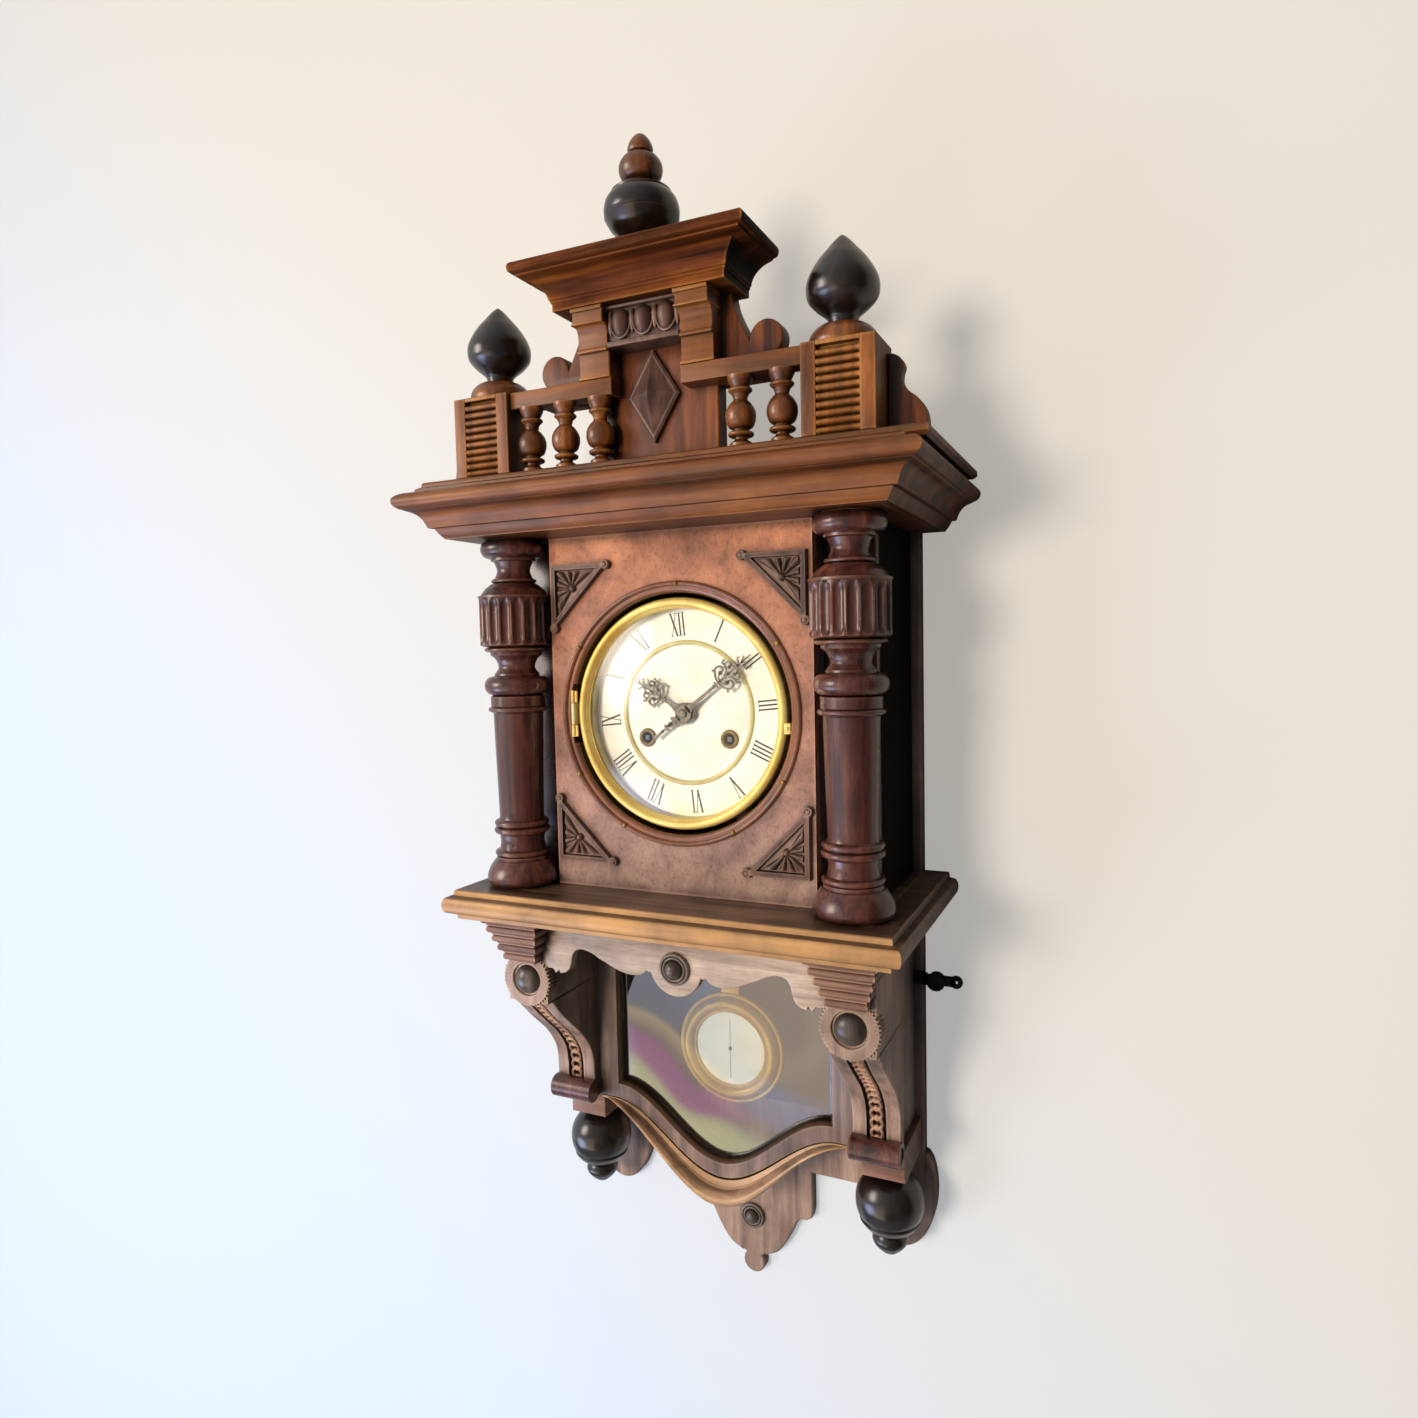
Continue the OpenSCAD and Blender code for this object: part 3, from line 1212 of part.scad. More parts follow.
backboard();
case_sides();
corner_returns();
soffit_board();
top_board();
cornice_front();
cornice_sides();
front_panel();
dial_surround();
corner_ornaments();
columns();
shelf();
lower_sides();
sash_frame();
sash_glass();
base_moulding();
apron();
turned_buttons();
consoles();
console_blocks();
ball_drops();
crest_board();
crest_posts();
spindles();
crest_rails();
egg_strip();
lozenge();
pediment_cap();
centre_finial();
side_finials();
side_scrolls();
hanging_plate();
steady_lugs();
thumbscrew_left();
thumbscrew_right();
dial_plates();
dial_pan();
bezel();
bezel_glass();
bezel_pin();
hour_hand();
minute_hand();
motion_wheel();
movement_frame();
going_barrel();
strike_barrel();
going_arbor();
strike_arbor();
second_wheel();
centre_wheel();
third_wheel();
escape_wheel();
strike_wheel();
fly();
anchor();
pendulum_rod();
pendulum_bob();
rating_nut();
gong();
gong_hammer();
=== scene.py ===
# %% [markdown]
# # A walnut wall regulator, dressed piece by piece
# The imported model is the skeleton: it says where each part is and how it moves.
# Every cell below makes one visible piece, or one finish, and hangs it on that skeleton.
# Positions are worked out in millimetres from the middle of the dial: x to the right,
# y into the wall (so the front is negative), z up. One function turns them to metres.

# %% Load the skeleton
import bpy
import bmesh
import math
import numpy as np
from mathutils import Matrix


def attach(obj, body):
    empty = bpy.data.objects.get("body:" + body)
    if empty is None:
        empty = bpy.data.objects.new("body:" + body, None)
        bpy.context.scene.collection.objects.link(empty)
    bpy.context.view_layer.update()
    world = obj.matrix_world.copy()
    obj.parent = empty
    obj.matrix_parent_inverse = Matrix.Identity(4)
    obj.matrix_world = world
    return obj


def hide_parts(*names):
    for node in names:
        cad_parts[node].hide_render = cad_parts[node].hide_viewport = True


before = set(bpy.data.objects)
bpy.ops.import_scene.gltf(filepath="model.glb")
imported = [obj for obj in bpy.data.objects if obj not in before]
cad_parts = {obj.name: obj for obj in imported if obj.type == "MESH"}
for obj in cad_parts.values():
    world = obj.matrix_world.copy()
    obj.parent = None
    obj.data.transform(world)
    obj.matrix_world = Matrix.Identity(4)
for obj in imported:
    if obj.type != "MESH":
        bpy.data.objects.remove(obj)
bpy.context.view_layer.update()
DIAL_Z = -160.0
TAU = 2 * math.pi
SIDE_IN, SIDE_OUT = 133.0, 143.0
COLUMN_X, CONSOLE_X = 133.6, 131.0
PANEL_HALF, PANEL_FRONT = 105.5, 136.0
SHELF_TOP, SHELF_LOW = -132.5, -155.0
SASH_LOW, SASH_FRONT = -332.0, 74.8
SOFFIT, CORNICE_TOP, CREST_Z = 133.5, 171.0, 178.3
RAIL_Z, RAIL_TOP = 224.0, 236.0
CAP_Z, CAP_TOP = 282.0, 311.8
BUTTON_Z, LOBE_Z, BOB_Z = -184.5, -209.5, -282.6
LUG_Z, SCREW_X = -217.0, 161.4
HINGE_X, HINGE_Y = -87.7, -136.0

# %% [markdown]
# ## The camera
# The photo was taken close up with a wide lens, from a little to the right of the clock and just
# above the dial. Such a view has strong perspective, so the place, the three angles and the lens
# are set once, before any piece is made, and every piece is judged through them.

# %% The camera comes first
def look_from(place_mm, turn, tilt, roll, lens_mm):
    """A camera at a place beside the clock. Its back axis is
    (sin turn cos tilt, -cos turn cos tilt, sin tilt)."""
    a, e, t = turn, tilt, roll
    back = np.array([math.sin(a) * math.cos(e), -math.cos(a) * math.cos(e), math.sin(e)])
    right = np.array([math.cos(a), math.sin(a), 0.0])
    up = np.cross(back, right)
    right, up = math.cos(t) * right + math.sin(t) * up, math.cos(t) * up - math.sin(t) * right
    data = bpy.data.cameras.new("camera")
    data.sensor_width = 36
    data.lens = lens_mm
    data.clip_start, data.clip_end = 0.02, 50
    camera = bpy.data.objects.new("camera", data)
    bpy.context.scene.collection.objects.link(camera)
    place = np.array(place_mm) / 1000
    rows = [[right[i], up[i], back[i], place[i]] for i in range(3)]
    camera.matrix_world = Matrix(rows + [[0, 0, 0, 1]])
    bpy.context.scene.camera = camera
    return camera


camera = look_from((308.28, -738.73, 46.83 + DIAL_Z), 0.43718, 0.06372, -0.0218, 23.724)

# %% [markdown]
# ## Outlines
# A joiner works from a drawn section and a path, and so does this script. Sections could be
# drawn by hand in the modelling view, but worked out with arrays they keep their exact sizes.
# Every surface is one grid of points: rows along the path, columns round the section.

# %% Outlines
def arc(cx, cy, rx, ry, a0, a1, n=12):
    """Points on an ellipse: centre plus (rx cos a, ry sin a), for a from a0 to a1 degrees."""
    a = np.radians(np.linspace(a0, a1, n + 1))
    return np.stack([cx + rx * np.cos(a), cy + ry * np.sin(a)], 1)


def bead(z0, z1, r0, r1, n=12):
    """A half-round on a turned profile: radius r0 + (r1 - r0) sin a while the height goes from z0 to z1."""
    a = np.radians(np.linspace(0, 180, n + 1))
    return np.stack([r0 + (r1 - r0) * np.sin(a), z0 + (z1 - z0) * (1 - np.cos(a)) / 2], 1)


def chain(*parts):
    """Several stretches of outline, one after another."""
    return np.vstack([np.atleast_2d(np.asarray(p, float)) for p in parts])


def two_halves(right):
    """An outline given from its right half, listed from the bottom up, and mirrored in x."""
    return np.vstack([right, right[::-1] * [-1, 1]])


def smooth(points, n=8):
    """A curve through the points: each span is the Catmull-Rom blend of its four nearest points."""
    p = np.asarray(points, float)
    q = np.vstack([2 * p[0] - p[1], p, 2 * p[-1] - p[-2]])
    t = np.linspace(0, 1, n, endpoint=False)[:, None, None]
    a, b, c, d = q[:-3], q[1:-2], q[2:-1], q[3:]
    s = 0.5 * (2 * b + (c - a) * t + (2 * a - 5 * b + 4 * c - d) * t ** 2 + (3 * b - a - 3 * c + d) * t ** 3)
    return np.vstack([s.transpose(1, 0, 2).reshape(-1, p.shape[1]), p[-1]])

# %% [markdown]
# ## Turnings and rings
# Lathe work, rings and tubes are all one thing: a section repeated round a circle or along a line.
# Blender's screw tool could make them, but a grid of points joined into quads is exact, and it
# can be carved by changing the radius before the mesh is made.

# %% Turnings and rings
def skin(grid, round_u=False, round_v=False):
    """Quads over a grid of points (rows, columns, 3); a round direction joins its last row to its first."""
    nu, nv = grid.shape[:2]
    u = np.arange(nu if round_u else nu - 1)[:, None]
    v = np.arange(nv if round_v else nv - 1)[None, :]
    next_u, next_v = (u + 1) % nu, (v + 1) % nv
    a, b, c, d = u * nv + v, next_u * nv + v, next_u * nv + next_v, u * nv + next_v
    return grid.reshape(-1, 3), np.stack([a, b, c, d], -1).reshape(-1, 4).tolist()


def tube(grid):
    """A closed skin: columns join up round each row, and the first and last rows are capped."""
    points, faces = skin(grid, False, True)
    nu, nv = grid.shape[:2]
    return points, faces + [list(range(nv)), list(range((nu - 1) * nv, nu * nv))]


def turned(profile, centre=(0, 0, 0), axis="z", segs=96, carve=None):
    """A profile of (radius, height) carried round an axis as (r cos t, r sin t, h). carve works out
    a new r from (r, t, h)."""
    t = np.arange(segs) * TAU / segs
    r = np.repeat(profile[:, :1], segs, 1)
    h = np.repeat(profile[:, 1:], segs, 1)
    if carve is not None:
        r = carve(r, t[None, :], h)
    a, b = r * np.cos(t), r * np.sin(t)
    grid = {"z": [a, b, h], "y": [a, -h, b], "x": [h, a, b]}[axis]
    return tube(np.stack(grid, -1) + np.array(centre, float))


def ring(section, centre=(0, 0, 0), axis="y", start=0, stop=360, segs=128):
    """A closed section of (radius, height) carried round from start to stop degrees. A full turn
    closes on itself."""
    whole = stop - start >= 360
    t = np.radians(np.linspace(start, stop, segs, endpoint=not whole))[:, None]
    r, h = section[:, 0][None, :], section[:, 1][None, :] + 0 * t
    a, b = r * np.cos(t), r * np.sin(t)
    grid = np.stack({"z": [a, b, h], "y": [a, -h, b], "x": [h, a, b]}[axis], -1) + np.array(centre, float)
    return skin(grid, True, True) if whole else tube(grid)

# %% [markdown]
# ## Boards with eased edges
# No planed board has a knife edge: its corners are rounded by sandpaper and by hands. A bevel
# modifier could do that, but on a thin curved outline its cuts run into each other. Here the
# outline steps inwards by a quarter circle as it rises, so the rounding is part of the grid.

# %% Boards and mouldings
def inward(outline):
    """Unit steps into an outline at each of its points, lengthened at corners so that its edges
    move in evenly."""
    p = np.asarray(outline, float)
    e = np.roll(p, -1, 0) - p
    e /= np.maximum(np.linalg.norm(e, axis=1, keepdims=True), 1e-9)
    n = np.stack([-e[:, 1], e[:, 0]], 1)
    m = n + np.roll(n, 1, 0)
    m /= np.maximum((m * n).sum(1, keepdims=True), 0.35 * np.linalg.norm(m, axis=1, keepdims=True) + 1e-9)
    area = (p[:, 0] * np.roll(p[:, 1], -1) - np.roll(p[:, 0], -1) * p[:, 1]).sum()
    return m if area > 0 else -m


PLANES = {"front": (0, 2, 1, -1), "side": (1, 2, 0, 1), "top": (0, 1, 2, 1)}


def plate(outline, low, high, plane="front", edge=1.2, steps=4, back_edge=0.0):
    """A board: the outline goes from low to high, and its far edge is rounded by quarter-circle steps
    inwards. On the front plane low and high are distances from the wall; on the side plane the outline
    is (y, z)."""
    p = np.asarray(outline, float)
    step = inward(p)
    turn = np.radians(np.linspace(0, 90, steps + 1))
    rows = [(back_edge, low)] + ([(0, low + back_edge)] if back_edge else [])
    rows += [(edge * (1 - math.cos(a)), high - edge * (1 - math.sin(a))) for a in turn]
    iu, iv, iw, sign = PLANES[plane]
    grid = np.zeros((len(rows), len(p), 3))
    for k, (off, w) in enumerate(rows):
        q = p + step * off
        grid[k, :, iu], grid[k, :, iv], grid[k, :, iw] = q[:, 0], q[:, 1], sign * w
    return tube(grid)


def block(x0, x1, f0, f1, z0, z1, edge=1.0, plane="front"):
    """A plain board between two x, two distances from the wall and two heights, with its edges rounded."""
    if plane == "front":
        return plate([[x0, z0], [x1, z0], [x1, z1], [x0, z1]], f0, f1, "front", edge, 3, edge * 0.6)
    if plane == "side":
        return plate([[-f1, z0], [-f0, z0], [-f0, z1], [-f1, z1]], x0, x1, "side", edge, 3, edge)
    return plate([[x0, -f1], [x1, -f1], [x1, -f0], [x0, -f0]], z0, z1, "top", edge, 3, edge)


def surround(section, half_w, deep, back=0.0):
    """A moulding round three sides of a shelf: the section of (out, height) is carried along left, front
    and right, mitred at the two front corners by moving each corner point out along both sides at once."""
    out, h = section[:, 0], section[:, 1]
    zero = np.zeros_like(out)
    wide, front, rear = half_w + out, -deep - out, zero - back
    rows = [[-wide, rear, h], [-wide, front, h], [wide, front, h], [wide, rear, h]]
    return tube(np.stack([np.stack(r, -1) for r in rows], 0))

# %% [markdown]
# ## Hanging a piece on the skeleton
# A real part is glued up from several bits of wood and then fixed to the case. The bits could be
# joined and parented by hand, but one function does it for every piece, so that each is closed,
# shaded and hung on its body in the same way.

# %% Copies, and pieces on their bodies
def moved(part, x=0.0, y=0.0, z=0.0):
    """The same part, shifted."""
    return part[0] + np.array([x, y, z], float), part[1]


def mirrored(part):
    """The same part on the other side of the clock, its faces turned over to keep pointing out."""
    return part[0] * [-1, 1, 1], [f[::-1] for f in part[1]]


def both(*parts):
    """Each part and its mirror image."""
    return [q for p in parts for q in (p, mirrored(p))]


def piece(name, parts, finish, nodes=(), body="case", angle=32):
    """Joins parts into one object, closes its seams, turns its faces outwards, shades it smooth up to an
    angle, and hangs it on a body of the skeleton in place of the named nodes."""
    points, faces, base = [], [], 0
    for p, f in parts:
        points.append(p)
        faces += [[i + base for i in face] for face in f]
        base += len(p)
    co = np.vstack(points) + [0, 0, DIAL_Z]
    mesh = bpy.data.meshes.new(name)
    mesh.from_pydata((co / 1000).tolist(), [], faces)
    work = bmesh.new()
    work.from_mesh(mesh)
    bmesh.ops.remove_doubles(work, verts=work.verts, dist=2e-6)
    bmesh.ops.recalc_face_normals(work, faces=work.faces)
    work.to_mesh(mesh)
    work.free()
    mesh.polygons.foreach_set("use_smooth", np.ones(len(mesh.polygons), bool))
    mesh.set_sharp_from_angle(angle=math.radians(angle))
    mesh.materials.append(finish)
    obj = bpy.data.objects.new(name, mesh)
    bpy.context.scene.collection.objects.link(obj)
    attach(obj, body)
    if nodes:
        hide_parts(*nodes)
    print(f"{name}: {len(mesh.polygons)} faces")
    return obj


# %% [markdown]
# ## Colours and nodes
# Each finish below is mixed from a few nodes. The small functions here add a node with all its
# settings in one line, so that a finish reads like a recipe.

# %% Colours and nodes
def linear(hexa):
    """An sRGB hex colour as linear light: c/12.92 below 0.04045, else ((c + 0.055)/1.055) ** 2.4."""
    c = np.array([int(hexa[i:i + 2], 16) / 255 for i in (1, 3, 5)])
    return (*np.where(c <= 0.04045, c / 12.92, ((c + 0.055) / 1.055) ** 2.4), 1.0)


def put(tree, kind, links=None, ramp=None, **settings):
    """Adds a node. settings are its attributes or input values, and links maps an input to another
    node's output."""
    node = tree.nodes.new(kind)
    for key, value in settings.items():
        if hasattr(node, key):
            setattr(node, key, value)
        else:
            node.inputs[key.replace("_", " ")].default_value = value
    for key, source in (links or {}).items():
        tree.links.new(source, node.inputs[key])
    if ramp:
        el = node.color_ramp.elements
        while len(el) < len(ramp):
            el.new(0.5)
        for e, (at, colour) in zip(el, ramp):
            e.position = at
            e.color = linear(colour) if isinstance(colour, str) else (colour, colour, colour, 1)
    return node


def surface(name, colour, rough=0.5, metal=0.0):
    """A new material with its main shader; returns the tree, the shader and the material."""
    material = bpy.data.materials.new(name)
    material.use_nodes = True
    tree = material.node_tree
    shader = tree.nodes["Principled BSDF"]
    shader.inputs["Base Color"].default_value = linear(colour)
    shader.inputs["Roughness"].default_value = rough
    shader.inputs["Metallic"].default_value = metal
    return tree, shader, material


# %% [markdown]
# ## Walnut with a century of wax
# Old walnut is dark where wax and dust have settled and golden where hands and cloths have
# rubbed it. Noise stretched along the grain gives the figure, and ambient occlusion darkens the
# hollows, partly for wax and dust and partly as painted shade. The same test turned inwards finds
# the edges that are rubbed bright. Painted light is mixed in as well: faces towards the room can be
# lightened towards the rubbed colour, and faces to the right darkened as painted shade.

# %% Walnut
def multiply(tree, base, shade, amount):
    """Darkens one colour by another: base (1 - amount + amount shade)."""
    mix = put(tree, "ShaderNodeMix", data_type="RGBA", blend_type="MULTIPLY")
    mix.inputs[0].default_value = amount
    tree.links.new(base, mix.inputs[6])
    tree.links.new(shade, mix.inputs[7])
    return mix.outputs[2]


def walnut(name, dark, mid, light, rub_and_lit_colour, grain="z", rough=0.38, gloss=0.2, hollow=0.9, rubbed=0.5, pits_and_sheen=0.0,
           front_light=0.0, right_shade=0.0):
    """Walnut with a figure about 12 mm wide, pores about 0.5 mm wide, rubbed edges, and hollows darkened
    partly by settled wax and grime and partly as painted shade. The speck amount adds dark specks
    and a painted sheen that turns the tint from grey at the panel's foot to gold at its head; the
    front amount paints light on what faces the room, and the right amount paints shade on what faces
    right, away from the window."""
    tree, shader, material = surface(name, mid, rough)
    where = put(tree, "ShaderNodeTexCoord")
    long = {"x": (7, 85, 85), "y": (85, 7, 85), "z": (85, 85, 7), "burr": (38, 38, 30)}[grain]
    fine = {"x": (60, 1900, 1900), "y": (1900, 60, 1900), "z": (1900, 1900, 60),
            "burr": (1500, 1500, 160)}[grain]
    wide = put(tree, "ShaderNodeMapping", {"Vector": where.outputs["Object"]}, Scale=long)
    thin = put(tree, "ShaderNodeMapping", {"Vector": where.outputs["Object"]}, Scale=fine)
    flow = put(tree, "ShaderNodeTexNoise", {"Vector": wide.outputs["Vector"]}, Scale=1.0, Detail=6.0,
               Roughness=0.62, Distortion=0.6)
    pores = put(tree, "ShaderNodeTexNoise", {"Vector": thin.outputs["Vector"]}, Scale=1.0, Detail=3.0,
                Roughness=0.7)
    cloud = put(tree, "ShaderNodeTexNoise", {"Vector": where.outputs["Object"]}, Scale=16.0, Detail=5.0,
                Roughness=0.6)
    tone = put(tree, "ShaderNodeValToRGB", {"Fac": flow.outputs["Fac"]},
               ramp=[(0.3, dark), (0.52, mid), (0.74, light)])
    pore = put(tree, "ShaderNodeValToRGB", {"Fac": pores.outputs["Fac"]}, ramp=[(0.34, 0.5), (0.54, 1.0)])
    patch = put(tree, "ShaderNodeValToRGB", {"Fac": cloud.outputs["Fac"]}, ramp=[(0.34, 0.42), (0.6, 1.0)])
    # Ambient occlusion darkens hollows and corners within 12 mm: partly settled wax and grime, partly
    # painted shade.
    near = put(tree, "ShaderNodeAmbientOcclusion", samples=6, Distance=0.012)
    dust_and_shade = put(tree, "ShaderNodeValToRGB", {"Fac": near.outputs["AO"]}, ramp=[(0.3, 0.1), (0.92, 1.0)])
    colour = multiply(tree, tone.outputs["Color"], pore.outputs["Color"], 0.5)
    colour = multiply(tree, colour, patch.outputs["Color"], 0.75)
    colour = multiply(tree, colour, dust_and_shade.outputs["Color"], hollow)
    if pits_and_sheen:
        speck = put(tree, "ShaderNodeTexNoise", {"Vector": where.outputs["Object"]}, Scale=330.0,
                    Detail=4.0, Roughness=0.75)
        spot = put(tree, "ShaderNodeValToRGB", {"Fac": speck.outputs["Fac"]},
                   ramp=[(0.36, 0.2), (0.46, 1.0)])
        colour = multiply(tree, colour, spot.outputs["Color"], pits_and_sheen)
        # Painted sheen and light: the panel's tint runs from cool grey at its foot to warm gold at its head.
        apart = put(tree, "ShaderNodeSeparateXYZ", {"Vector": where.outputs["Object"]})
        height = put(tree, "ShaderNodeMapRange", {"Value": apart.outputs["Z"]}, From_Min=-0.3,
                     From_Max=-0.04)
        shade = put(tree, "ShaderNodeValToRGB", {"Fac": height.outputs["Result"]},
                    ramp=[(0.0, "#d7ffff"), (0.9, "#fff4c4")])
        colour = multiply(tree, colour, shade.outputs["Color"], 1.0)
    edge = put(tree, "ShaderNodeAmbientOcclusion", samples=5, inside=True, only_local=True, Distance=0.0024)
    worn = put(tree, "ShaderNodeMapRange", {"Value": edge.outputs["AO"]}, From_Min=0.88, From_Max=0.35,
               To_Max=rubbed)
    shape = put(tree, "ShaderNodeNewGeometry")
    axes = put(tree, "ShaderNodeSeparateXYZ", {"Vector": shape.outputs["Normal"]})
    # Painted light: faces turned towards the room are mixed towards the rubbed colour.
    ahead = put(tree, "ShaderNodeMapRange", {"Value": axes.outputs["Y"]}, From_Min=-0.35, From_Max=-0.9,
                To_Max=front_light)
    # Painted shade: faces turned to the right, away from the window, are darkened.
    away = put(tree, "ShaderNodeMapRange", {"Value": axes.outputs["X"]}, From_Min=0.2, From_Max=0.7,
               To_Min=1.0, To_Max=1.0 - right_shade)
    colour = multiply(tree, colour, away.outputs["Result"], 1.0)
    # Rubbed edges are real wear; faces towards the room take the same colour as painted light.
    share = put(tree, "ShaderNodeMath", {0: worn.outputs["Result"], 1: ahead.outputs["Result"]},
                operation="MAXIMUM")
    gone = put(tree, "ShaderNodeMath", {0: share.outputs[0], 1: patch.outputs["Color"]},
               operation="MULTIPLY")
    rubbed_and_lit = put(tree, "ShaderNodeMix", data_type="RGBA")
    rubbed_and_lit.inputs[7].default_value = linear(rub_and_lit_colour)
    tree.links.new(gone.outputs[0], rubbed_and_lit.inputs[0])
    tree.links.new(colour, rubbed_and_lit.inputs[6])
    tree.links.new(rubbed_and_lit.outputs[2], shader.inputs["Base Color"])
    sheen = put(tree, "ShaderNodeMapRange", {"Value": cloud.outputs["Fac"]}, To_Min=rough + 0.16,
                To_Max=rough - 0.1)
    tree.links.new(sheen.outputs["Result"], shader.inputs["Roughness"])
    bump = put(tree, "ShaderNodeBump", {"Height": pores.outputs["Fac"]}, Strength=0.2, Distance=0.0004)
    tree.links.new(bump.outputs["Normal"], shader.inputs["Normal"])
    shader.inputs["Specular IOR Level"].default_value = 0.5 if gloss else 0.12
    shader.inputs["Coat Weight"].default_value = gloss
    shader.inputs["Coat Roughness"].default_value = 0.25
    return material

# %% [markdown]
# ## Twenty finishes from one recipe
# The parts of an old clock differ: stained columns, and a paler apron and a greyer shelf whose
# lighter tones are painted light and painted sheen. Each could have a material tree of its own,
# but one recipe with other colours and amounts keeps them of one family, and a change to the
# figure reaches every board.

# %% Twenty finishes
WOOD = ("#2a1204", "#663314", "#95561d", "#cc8c44")
# PALE: lighter, greyer walnut for the lower parts; the lightness is painted light from low on the left.
PALE = ("#5a4840", "#96796a", "#b89e8c", "#d6bb9c")
PANEL = ("#83584e", "#b47a70", "#cf9484", "#d9a184")
DARK = ("#210f0b", "#562c25", "#7d4a3b", "#b37c58")
CARVED = ("#241612", "#54392f", "#7a594b", "#a08170")
BLACK = ("#0b0705", "#1c130d", "#33241a", "#6b4c34")
# Where a finish below lightens the faces towards the room, that lightening is painted light.
walnut_up = walnut("waxed_walnut_upright", *WOOD, grain="z", rough=0.4, gloss=0.1, rubbed=0.3)
walnut_across = walnut("waxed_walnut_across", *WOOD, grain="x", rough=0.4, gloss=0.1, rubbed=0.35,
                       front_light=0.12)
# The cap's right-hand faces are painted nearly black: painted shade.
cap_wood = walnut("waxed_walnut_cap", *WOOD, grain="x", rough=0.55, gloss=0.0, rubbed=0.5, right_shade=0.95)
post_wood = walnut("lit_walnut_posts", "#3a1c0a", "#804719", "#b06d2c", "#dca050", grain="z", rough=0.4,
                   gloss=0.1)
# The two pale finishes below are lighter, greyer copies for the lower parts: painted light from low on the
# left.
pale_up = walnut("pale_lit_walnut_upright", *PALE, grain="z", rough=0.42)
pale_across = walnut("pale_lit_walnut_across", "#77665a", "#b09a8a", "#cdb8a6", "#dcc6ae", grain="x",
                     rough=0.42)
# Pale grey walnut for the lower sides: painted sheen, the wall's reflection in their polish.
sheen_side_wood = walnut("walnut_side_painted_sheen", "#84776f", "#aa9c92", "#c4b6ac", "#d8ccc2", grain="z", rough=0.34,
                   gloss=0.3)
sash_wood = walnut("brown_walnut_sash", "#453530", "#745d54", "#93796e", "#c79f80", grain="z", rough=0.36,
                   gloss=0.2)
foot_wood = walnut("golden_walnut_moulding", "#5d4434", "#9c7a62", "#bf9878", "#e6b87c", grain="x",
                   rough=0.32, gloss=0.4, front_light=0.25)
panel_wood = walnut("red_brown_walnut_panel", *PANEL, grain="burr", rough=0.44, pits_and_sheen=0.45)
stained_up = walnut("dark_stained_walnut_upright", *DARK, grain="z", rough=0.22, gloss=0.7)
turned_wood = walnut("turned_walnut", "#241006", "#663212", "#9c5c22", "#d8964a", rough=0.26, gloss=0.6,
                     front_light=0.06)
button_wood = walnut("greyed_turned_walnut", "#241d19", "#4d423a", "#776a5f", "#a8998a", rough=0.28,
                     gloss=0.5)
# Greyed walnut for the shelf: painted sheen on its top, and painted light on its front nosing.
sheen_shelf_wood = walnut("walnut_shelf_painted_sheen", "#3b291e", "#6d5140", "#96714f", "#e0a861", grain="x",
                    rough=0.34, gloss=0.2, front_light=0.5)
ring_wood = walnut("polished_ring_walnut", "#240d08", "#50271a", "#733c28", "#a5683f", rough=0.16,
                   gloss=1.0)
carved_wood = walnut("dark_carved_walnut", *CARVED, rough=0.42, rubbed=0.5)
ebonised = walnut("ebonised_wood", *BLACK, grain="z", rough=0.16, gloss=0.8)
chain_wood = walnut("rubbed_chain_walnut", "#3a2119", "#7d5745", "#a37c66", "#cfa486", rubbed=0.6)
block_wood = walnut("reeded_block_walnut", "#4a2f25", "#86604d", "#a57e68", "#d0a07e", grain="x", rough=0.4)
# Near-black wood for the case sides: painted shade, as they face away from the light.
shade_black_wood = walnut("unlit_painted_shade_wood", "#010101", "#030202", "#060403", "#120b07", rough=0.8, gloss=0.0,
               rubbed=0.2)
print("twenty finishes of walnut")

# %% [markdown]
# ## Metals
# Brass and steel that have hung in a room for a century are bright in places and dull in others.
# A picture of metal could be wrapped round them, but a noise that mixes two tones and two
# roughnesses has no seams and suits every piece.

# %% Metals
def metal(name, colour, dull, rough=0.25, scale=60.0, metallic=1.0):
    """A polished metal that time has dulled in patches: noise mixes its bright and its dull tone."""
    tree, shader, material = surface(name, colour, rough, metallic)
    where = put(tree, "ShaderNodeTexCoord")
    cloud = put(tree, "ShaderNodeTexNoise", {"Vector": where.outputs["Object"]}, Scale=scale, Detail=6.0,
                Roughness=0.65)
    tone = put(tree, "ShaderNodeValToRGB", {"Fac": cloud.outputs["Fac"]},
               ramp=[(0.35, dull), (0.62, colour)])
    tree.links.new(tone.outputs["Color"], shader.inputs["Base Color"])
    sheen = put(tree, "ShaderNodeMapRange", {"Value": cloud.outputs["Fac"]}, To_Min=rough + 0.12,
                To_Max=rough - 0.05)
    tree.links.new(sheen.outputs["Result"], shader.inputs["Roughness"])
    return material


brass = metal("aged_polished_brass", "#e0b856", "#b58a3c", 0.22, metallic=0.85)
bob_brass = metal("spun_bob_brass", "#e8bd5a", "#c0903a", 0.3, 25.0, 0.62)
bezel_brass = metal("polished_bezel_brass", "#f9dc86", "#dcae52", 0.27, 22.0, 0.55)
pale_brass = metal("pale_lacquered_brass", "#e2d6a2", "#c4b176", 0.36, 40.0, 0.3)
brass_dull = metal("lacquered_brass_plate", "#b8924a", "#8a6a34", 0.38)
bronze = metal("darkened_bronze", "#a98c58", "#75603a", 0.34, 160.0, 0.6)
steel = metal("brushed_steel", "#9a9a98", "#74726e", 0.34, 300.0)
# Browned steel, lightened as a painted reflection of the haze that the dome glass lays over the hands.
hazed_hand_steel = metal("browned_steel_hands_painted_haze", "#a0968a", "#736a60", 0.45, 220.0, 0.25)
iron = metal("blackened_iron", "#2a2826", "#141312", 0.5, 180.0, 0.8)

